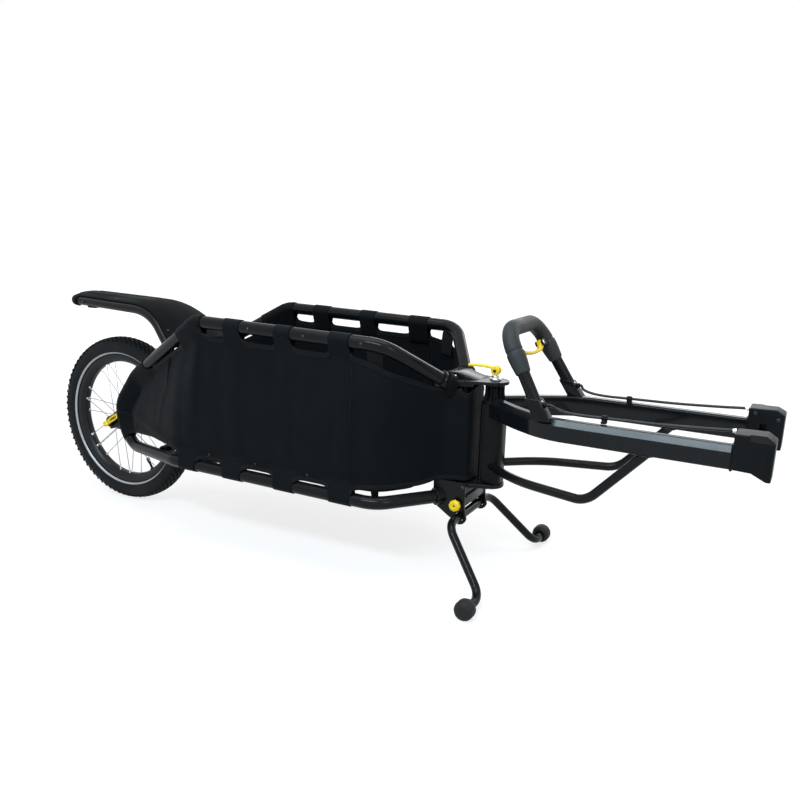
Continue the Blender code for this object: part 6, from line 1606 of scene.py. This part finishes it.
def cloth_finish(name, dark, light, gloss, pitch=0.0009, bump=0.35, specular=0.05):
    """A woven finish whose threads lie along the piece's own UV map."""
    made = bpy.data.materials.new(name)
    tree = bare_tree(made)
    flat = put(tree, "ShaderNodeUVMap", {"uv_map": "cloth"}).outputs["UV"]
    where = put(tree, "ShaderNodeTexCoord").outputs["Object"]
    weave = put(tree, "ShaderNodeGroup", {"node_tree": WEAVE}, Vector=flat, Pitch=pitch)
    dusty = put(tree, "ShaderNodeGroup", {"node_tree": DUST}, Vector=where, Amount=0.02)
    worn = put(tree, "ShaderNodeGroup", {"node_tree": WEAR}, Vector=where, Amount=0.25)
    base = tinted(tree, weave.outputs["Tone"], dark, light)
    base = tinted(tree, worn.outputs["Mask"], base, tuple(2.2 * part for part in light))
    base = tinted(tree, dusty.outputs["Mask"], base, DUST_COLOUR)
    rough = put(tree, "ShaderNodeMapRange", i0=weave.outputs["Tone"], i3=gloss[1], i4=gloss[0])
    relief = put(tree, "ShaderNodeBump", Strength=bump, Distance=0.0004,
                 Height=weave.outputs["Height"])
    shader = put(tree, "ShaderNodeBsdfPrincipled", Base_Color=base, Roughness=rough.outputs[0],
                 Normal=relief.outputs[0], Specular_IOR_Level=specular, Sheen_Weight=0.03,
                 Sheen_Roughness=0.4)
    tree.links.new(shader.outputs[0], put(tree, "ShaderNodeOutputMaterial").inputs[0])
    made.diffuse_color = (*light, 1)
    return made


bag_canvas = cloth_finish("coated_black_canvas", (0.0024, 0.0034, 0.0043), (0.0044, 0.0060, 0.0074),
                          (0.56, 0.76))
strap_webbing = cloth_finish("black_webbing", (0.0032, 0.0040, 0.0046), (0.0066, 0.0078, 0.0088),
                             (0.54, 0.70), pitch=0.0016, bump=0.6, specular=0.07)


Rail = namedtuple("Rail", "length place station frame_at")
End = namedtuple("End", "rows wrap span")
Column = namedtuple("Column", "x top bottom out")


def rail(points, zero):
    """A side frame's branch, measured from the heel, with the functions that find places on it."""
    points = np.array(points)
    steps = np.linalg.norm(np.diff(points, axis=0), axis=1)
    run = np.concatenate(([0.0], np.cumsum(steps)))
    run -= run[zero]

    def place(distance):
        return Vector([float(np.interp(distance, run, points[:, axis])) for axis in range(3)])

    def station(x):
        return float(np.interp(x, points[zero:, 0], run[zero:]))

    def frame_at(distance):
        """(place, along, towards the panel, outwards) on the right-hand side."""
        here = place(distance)
        along = (place(distance + 0.006) - place(distance - 0.006)).normalized()
        level = math.hypot(along.x, along.y)
        share = min(1.0, level / 0.35)
        out = Vector((-along.y, along.x, 0)) / max(level, 1e-6)
        out = -out if out.y > 0 else out
        out = out * share + Vector((0, -1, 0)) * (1 - share)
        out = (out - along * out.dot(along)).normalized()
        into = along.cross(out)
        middle = Vector((min(max(here.x, 0.13), 0.80), here.y, 0.12))
        return here, along, (into if into.dot(middle - here) > 0 else -into), out

    return Rail(run[-1], place, station, frame_at)


path = loop_path(-1, 3.0)
heel = min(range(len(path)), key=lambda index: path[index].x)
UPPER = rail(path[heel + 4::-1], 4)
LOWER = rail(path[heel - 4:], 4)
TOP_SPANS = [(0.0, UPPER.station(0.169))]
TOP_SPANS += [(UPPER.station(a), UPPER.station(b)) for a, b in [SLEEVE] + TOP_LOOPS]
BOTTOM_SPANS = [(0.0, LOWER.station(0.088))]
BOTTOM_SPANS += [(LOWER.station(a), LOWER.station(b)) for a, b in BOTTOM_LOOPS]


def in_span(distance, spans):
    """(number of the span the distance is in or None, how far outside the nearest one it is)."""
    for number, (start, end) in enumerate(spans):
        if start - 1e-7 <= distance <= end + 1e-7:
            return number, 0.0
    return None, min(min(abs(distance - start), abs(distance - end)) for start, end in spans)


def slack_line(depth):
    """How far outwards the outer half of a loop stands at a depth below the tube's centre."""
    reach = CLOTH_RADIUS ** 2 / TAIL
    height = CLOTH_RADIUS * math.sqrt(1 - (CLOTH_RADIUS / TAIL) ** 2)
    return max(0.0, height * (TAIL - depth) / (TAIL - reach))


def lacing(branch, distance, spans, gaps):
    """The panel's End at a place on a rail, its rows running to its free edge, and the way out."""
    here, along, into, out = branch.frame_at(distance)
    span, beyond = in_span(distance, spans)
    if span is None:
        gap = read_off(gaps, here.x)
        start, end = max(TAIL, gap + 0.004), gap - 0.006 * math.exp(-(beyond / 0.006) ** 2)
    else:
        start, end = TAIL, CLOTH_RADIUS ** 2 / TAIL
    lift = math.exp(-(beyond / 0.012) ** 2)
    depths = [start + (end - start) * share for share in np.linspace(0, 1, 5)]
    rows = [here + into * depth + out * (lift * slack_line(depth)) for depth in depths]
    wrap = []
    if span is not None:
        swing = math.acos(CLOTH_RADIUS / TAIL)
        wrap = [here + into * (CLOTH_RADIUS * math.cos(a)) + out * (CLOTH_RADIUS * math.sin(a))
                for a in np.linspace(swing, 2 * math.pi - swing, 17)]
        foot, tip = wrap[-1], here + into * (TAIL + 0.010) - out * 0.0014
        wrap += [foot.lerp(tip, share) for share in (0.25, 0.5, 0.75, 1.0)]
    return End(rows, wrap, span), out


def hem(point, level, way):
    """The panel's last rows, straight up or down to a free hem at a level."""
    return [Vector((point.x, point.y, level - way * HEM * (1 - share)))
            for share in np.linspace(0, 1, 5)]


def columns_right():
    """Every column of the right-hand wall from the heel to the middle of the nose."""
    joint = (UPPER.station(0.300), LOWER.station(0.300))
    shares = set(np.linspace(0.004, 1, 46))
    for end in (TOP_SPANS[0][1] / joint[0], BOTTOM_SPANS[0][1] / joint[1]):
        shares |= {end, end + 0.006, end + 0.014}
    pairs = [(share * joint[0], share * joint[1]) for share in sorted(shares)]
    places = set(np.linspace(0.3075, 0.865, 75))
    for start, end in [SLEEVE] + TOP_LOOPS + BOTTOM_LOOPS:
        places |= {start, end, start - 0.002, start - 0.005, end + 0.002, end + 0.005}
    pairs += [(UPPER.station(x), LOWER.station(x)) for x in sorted(places)]
    made = []
    for high, low in pairs:
        top, out = lacing(UPPER, high, TOP_SPANS, TOP_GAP)
        bottom, out_low = lacing(LOWER, low, BOTTOM_SPANS, BOTTOM_GAP)
        x = UPPER.place(high).x
        if x > TOP_HEM[0][0]:
            top = top._replace(rows=hem(top.rows[-1], read_off(TOP_HEM, x), 1))
        if x > BOTTOM_HEM[0][0] and bottom.span is None:
            bottom = bottom._replace(rows=hem(bottom.rows[-1], read_off(BOTTOM_HEM, x), -1))
        made.append(Column(x, top, bottom, (out + out_low).normalized()))
    line = [Vector(point) for point in curved([(x, -y, 0.0) for x, y in NOSE_PLAN], 3)[2:]]
    for index, point in enumerate(line):
        along = (line[min(index + 1, len(line) - 1)] - line[max(index - 1, 0)]).normalized()
        high = read_off(NOSE_HEM, index / (len(line) - 1))
        made.append(Column(point.x, End(hem(point, high, 1), [], None),
                           End(hem(point, 0.0180, -1), [], None),
                           Vector((along.y, -along.x, 0)).normalized()))
    return made


def canvas_lift(x, level, share, nose):
    """How far the cloth stands out of its flat: fullness, pull folds at the loops, soft creases."""
    full = math.sin(math.pi * share)
    lift = (0.0055 if not nose else 0.0012) * full ** 0.8
    for loops, away, width, fade, height, fold in (
            (TOP_LOOPS + [SLEEVE], 1 - share, 0.050, 0.30, 0.0026, 0.034),
            (BOTTOM_LOOPS, share, 0.045, 0.22, 0.0018, 0.032)):
        for start, end in loops:
            off = x - (start + end) / 2
            pull = math.exp(-(off / width) ** 2) * math.exp(-away / fade)
            lift += height * pull * math.cos(math.pi * off / fold) * min(1.0, 6 * away)
    for middle, depth in ((0.245, 0.0016), (0.63, 0.0014), (0.705, -0.0016), (0.90, 0.0012)):
        lift += depth * full * math.exp(-((x - middle - 0.03 * (share - 0.5)) / 0.009) ** 2)
    ridge = level - (0.046 - 0.16 * (x - 0.11))
    if 0.09 < x < 0.36:
        lift += 0.0034 * math.exp(-(ridge / 0.011) ** 2) * math.sin(math.pi * (x - 0.09) / 0.27)
    soft = noise.noise(Vector((x * 8.0, 3.1, level * 7.0))) * 0.0034
    soft += noise.noise(Vector((x * 26.0, 7.7, level * 21.0))) * 0.0009
    return lift + soft * full ** 0.5 * (0.5 if nose else 1.0)


def run_of(line, start=0.0, way=1):
    """How far along a line each of its points lies, counted up or down from start."""
    found = [start]
    for before, after in zip(line, line[1:]):
        found.append(found[-1] + way * (after - before).length)
    return found


def sewn(name, work, finish, wall, *nodes):
    """A piece of cloth, wall thick, from a bmesh that is its middle layer."""
    mesh = bpy.data.meshes.new(name)
    work.to_mesh(mesh)
    work.free()
    piece = fitted(name, soft_shaded(mesh, 60), finish, "frame", "bag_cloth", *nodes)
    cloth = piece.modifiers.new("cloth", "SOLIDIFY")
    cloth.thickness, cloth.offset = wall, 0.0
    return piece


ROWS = 36
columns = columns_right()
walls = []
for column in columns:
    nose = column.x > 0.866
    panel = [column.bottom.rows[0].lerp(column.top.rows[0], index / ROWS) for index in range(ROWS + 1)]
    for index in range(1, ROWS):
        panel[index] += column.out * canvas_lift(column.x, panel[index].z, index / ROWS, nose)
    walls.append(panel)

work = bmesh.new()
work.loops.layers.uv.new("cloth")
wide = 0.0
for index in range(len(columns) - 1):
    pair, panels = columns[index:index + 2], walls[index:index + 2]
    step = (panels[1][ROWS // 2] - panels[0][ROWS // 2]).length
    along = (wide, wide + step)
    wide += step
    runs = [run_of(panel, 0.05 + panel[0].z) for panel in panels]
    add_grid(work, panels, lambda line, place: (along[line], runs[line][place]))
    tops, bottoms = [column.top for column in pair], [column.bottom for column in pair]
    for ends, starts, way in ((tops, [run[-1] for run in runs], 1),
                              (bottoms, [run[0] for run in runs], -1)):
        runs = [run_of(end.rows, start, way) for end, start in zip(ends, starts)]
        add_grid(work, [end.rows for end in ends], lambda line, place: (along[line], runs[line][place]))
        if ends[0].span is not None and ends[0].span == ends[1].span:
            runs = [run_of(end.wrap, run[-1], way) for end, run in zip(ends, runs)]
            add_grid(work, [end.wrap for end in ends],
                     lambda line, place: (along[line], runs[line][place]))

bmesh.ops.remove_doubles(work, verts=work.verts, dist=2e-6)
half = bpy.data.meshes.new("half_wall")
work.to_mesh(half)
half.transform(Matrix.Scale(-1, 4, (0, 1, 0)))
work.from_mesh(half)
bpy.data.meshes.remove(half)
bmesh.ops.remove_doubles(work, verts=work.verts, dist=2e-6)
bmesh.ops.recalc_face_normals(work, faces=work.faces)
canvas_wall = sewn("canvas_wall", work, bag_canvas, CLOTH_WALL, "cargo_bag")


def panel_at(x, level):
    """The right-hand wall's outward reach at a station and height."""
    line = walls[min(range(len(columns)), key=lambda number: abs(columns[number].x - x))]
    return float(np.interp(level, [point.z for point in line], [-point.y for point in line]))


def sewn_in(name, grid):
    """A sheet inside the bag from lines of points, with its own UV in metres."""
    work = bmesh.new()
    work.loops.layers.uv.new("cloth")
    add_grid(work, grid, lambda line, place: (grid[line][place].x + grid[line][place].z,
                                              grid[line][place].y))
    return sewn(name, work, bag_canvas, CLOTH_WALL, "cargo_bag")


grid = []
for x in np.linspace(BAG_REAR + 0.002, 0.912, 90):
    base = read_off(FLOOR_LINE, x)
    reach = panel_at(x, base + 0.004) - 0.0016
    line = []
    for share in np.linspace(-1, 1, 31):
        sag = 0.0045 * math.sin(math.pi * min(1, max(0, (x - BAG_REAR) / 0.58))) * (1 - share ** 2)
        sag += 0.0012 * noise.noise(Vector((x * 14.0, share * 2.5, 1.3)))
        line.append(Vector((x, reach * share, base + 0.0015 - sag * (x < 0.84))))
    grid.append(line)
canvas_floor = sewn_in("canvas_floor", grid)

grid = []
base = FLOOR_LINE[0][1] + 0.001
crest = read_off([(column.x, column.top.rows[0].z) for column in columns], BAG_REAR) + 0.004
for level in np.linspace(base, crest, 34):
    reach = panel_at(BAG_REAR + 0.002, level) - 0.0016
    full = math.sin(math.pi * (level - base) / (crest - base))
    line = []
    for share in np.linspace(-1, 1, 31):
        bulge = 0.0050 * full * (1 - share ** 2)
        bulge += 0.0012 * noise.noise(Vector((share * 3.0, 5.0, level * 16.0))) * full
        line.append(Vector((BAG_REAR + 0.0022 + bulge, reach * share, level)))
    grid.append(line)
canvas_back = sewn_in("canvas_back", grid)

# Bound edges: folded tape sewn over every free edge of the wall, and the stitching that holds it
# and the foot of each loop.


TAPE_SECTION = ((0.0085, 0.0011), (0.0006, 0.0016), (-0.0011, 0.0), (0.0006, -0.0016),
                (0.0085, -0.0011))
tape = bmesh.new()
seams = []
for ends in ([column.top for column in columns], [column.bottom for column in columns]):
    chain = []
    for column, end in [*zip(columns, ends), (None, None)]:
        if end and end.span is None:
            into = (end.rows[0] - end.rows[-1]).normalized()
            out = (column.out - into * column.out.dot(into)).normalized()
            chain.append((end.rows[-1], into, out))
            continue
        for mirror in (1, -1) if len(chain) > 2 else ():
            flip = Vector((1, mirror, 1))
            edge = [[part * flip for part in place] for place in chain]
            add_rings(tape, [[point + into * depth + out * reach for depth, reach in TAPE_SECTION]
                             for point, into, out in edge])
            seams.append([point + into * 0.0066 + out * 0.0016 for point, into, out in edge])
        chain = []
for branch, spans in ((UPPER, TOP_SPANS), (LOWER, BOTTOM_SPANS)):
    for start, end in spans:
        count = max(4, int((end - start) / 0.006))
        for depth in (TAIL - 0.001, TAIL + 0.006):
            line = []
            for distance in np.linspace(start + 0.002, end - 0.002, count):
                here, along, into, out = branch.frame_at(float(distance))
                line.append(here + into * depth + out * (slack_line(depth) + 0.0009))
            seams += [line, [point * Vector((1, -1, 1)) for point in line]]
edge_tape = fitted("edge_tape", closed_mesh(tape, "tape", 40), strap_webbing, "frame", "bag_cloth")

# Bag fittings: cloth loops over the upper sockets, a webbing strap behind each panel, rivets and
# screws along the rails, and the rows of stitches.


LOOP_RADIUS, LOOP_WALL, STRAP_WALL = 0.0184, 0.0014, 0.0016
work = bmesh.new()
work.loops.layers.uv.new("cloth")
for mirror in (1, -1):
    grid = []
    for distance in np.linspace(UPPER.length - 0.020, UPPER.length + 0.004, 9):
        here, along, into, out = UPPER.frame_at(float(distance))
        flaps = []
        for reach, turn in ((0.0100, 1), (-0.0040, -1)):
            foot = here - Vector((0, 0, 0.027)) + out * reach
            tip = here + into * (LOOP_RADIUS * 0.35) + out * (turn * LOOP_RADIUS * 0.937)
            flaps.append([foot.lerp(tip, share) for share in (0, 0.25, 0.5, 0.75, 1)])
        over = [here + into * (LOOP_RADIUS * math.cos(a)) + out * (LOOP_RADIUS * math.sin(a))
                for a in np.radians(np.linspace(69.5, 290.5, 19))[1:-1]]
        line = flaps[0] + over + flaps[1][::-1]
        grid.append([point * Vector((1, mirror, 1)) for point in line])
    runs = [run_of(line) for line in grid]
    add_grid(work, grid, lambda line, place: (0.004 * line, runs[line][place]))
bmesh.ops.recalc_face_normals(work, faces=work.faces)
nose_loops = sewn("nose_loops", work, bag_canvas, LOOP_WALL)

work = bmesh.new()
for branch, start, end, drops in (
        (UPPER, 0.768, 0.797, ((-0.0132, 0.0020), (-0.020, -0.0010), (-0.030, -0.0030),
                               (-0.044, -0.0042), (-0.058, -0.0050))),
        (LOWER, 0.779, 0.793, ((0.034, -0.0036), (0.022, -0.0050), (0.012, -0.0100),
                               (0.004, -0.0148), (-0.004, -0.0148), (-0.0095, -0.0112)))):
    for mirror in (1, -1):
        rings = []
        for height, reach in drops:
            row = []
            for x, lift in ((start, 0.0), (start + 0.0015, 0.0006), (end - 0.0015, 0.0006), (end, 0.0)):
                here, along, into, out = branch.frame_at(branch.station(x))
                place = here + Vector((0, 0, height)) + out * (reach + lift)
                row.append(place * Vector((1, mirror, 1)))
            rings.append(row + [place - Vector((0, mirror * STRAP_WALL, 0)) for place in row[::-1]])
        add_rings(work, rings)
panel_straps = fitted("panel_straps", closed_mesh(work, "straps", 40), strap_webbing, "frame",
                      "bag_cloth")

places = []
for x in (0.3965, 0.515, 0.640):
    level = LOWER.place(LOWER.station(x)).z + read_off(BOTTOM_GAP, x) + 0.012
    reach = panel_at(x, level) + 0.0009
    places += [((x, side * reach, level), (0, side, 0)) for side in (-1, 1)]
for x in (0.510, 0.638, 0.762):
    here, along, into, out = UPPER.frame_at(UPPER.station(x))
    for mirror in (1, -1):
        flip = Vector((1, mirror, 1))
        places.append(((here + out * (FRAME_TUBE_RADIUS - 0.0002)) * flip, tuple(out * flip)))
screws("panel_rivets", places, dark_steel, "frame", "bright_steel", 0.75)

thread = hard_finish("black_thread", (0.010, 0.012, 0.013), (0.55, 0.70), scale=2600.0, bump=0.2,
                     wear=0.0, specular=0.2)


def stitch_tree():
    """Lays a stitch every Spacing along each line of the mesh, its length along the line."""
    tree, given = growing_tree("row of stitches", ("Spacing", "Float"), ("Thread", "Float"))
    line = put(tree, "GeometryNodeMeshToCurve", Mesh=given["Geometry"])
    even = put(tree, "GeometryNodeResampleCurve", {"mode": "LENGTH"}, Curve=line.outputs[0],
               Length=given["Spacing"])
    way = put(tree, "GeometryNodeInputTangent")
    turn = put(tree, "FunctionNodeAlignRotationToVector", {"axis": "X"}, Vector=way.outputs[0])
    bead = put(tree, "GeometryNodeMeshIcoSphere", Radius=given["Thread"], Subdivisions=1)
    longer = put(tree, "GeometryNodeTransform", Geometry=bead.outputs[0], Scale=(3.2, 1.0, 1.0))
    copies = put(tree, "GeometryNodeInstanceOnPoints", Points=even.outputs[0],
                 Instance=longer.outputs[0], Rotation=turn.outputs[0])
    return painted(tree, given, copies)


points, edges = [], []
for line in seams:
    first = len(points)
    points += line
    edges += [(first + index, first + index + 1) for index in range(len(line) - 1)]
mesh = bpy.data.meshes.new("seam_lines")
mesh.from_pydata(points, edges, [])
holder = bpy.data.objects.new("seam_lines", mesh)
bpy.context.scene.collection.objects.link(holder)
mesh = grown(holder, stitch_tree(), Spacing=0.0042, Thread=0.00045, Finish=thread)
stitches = fitted("seam_stitches", soft_shaded(mesh, 60), thread, "frame", "bag_cloth")

bpy.context.view_layer.update()
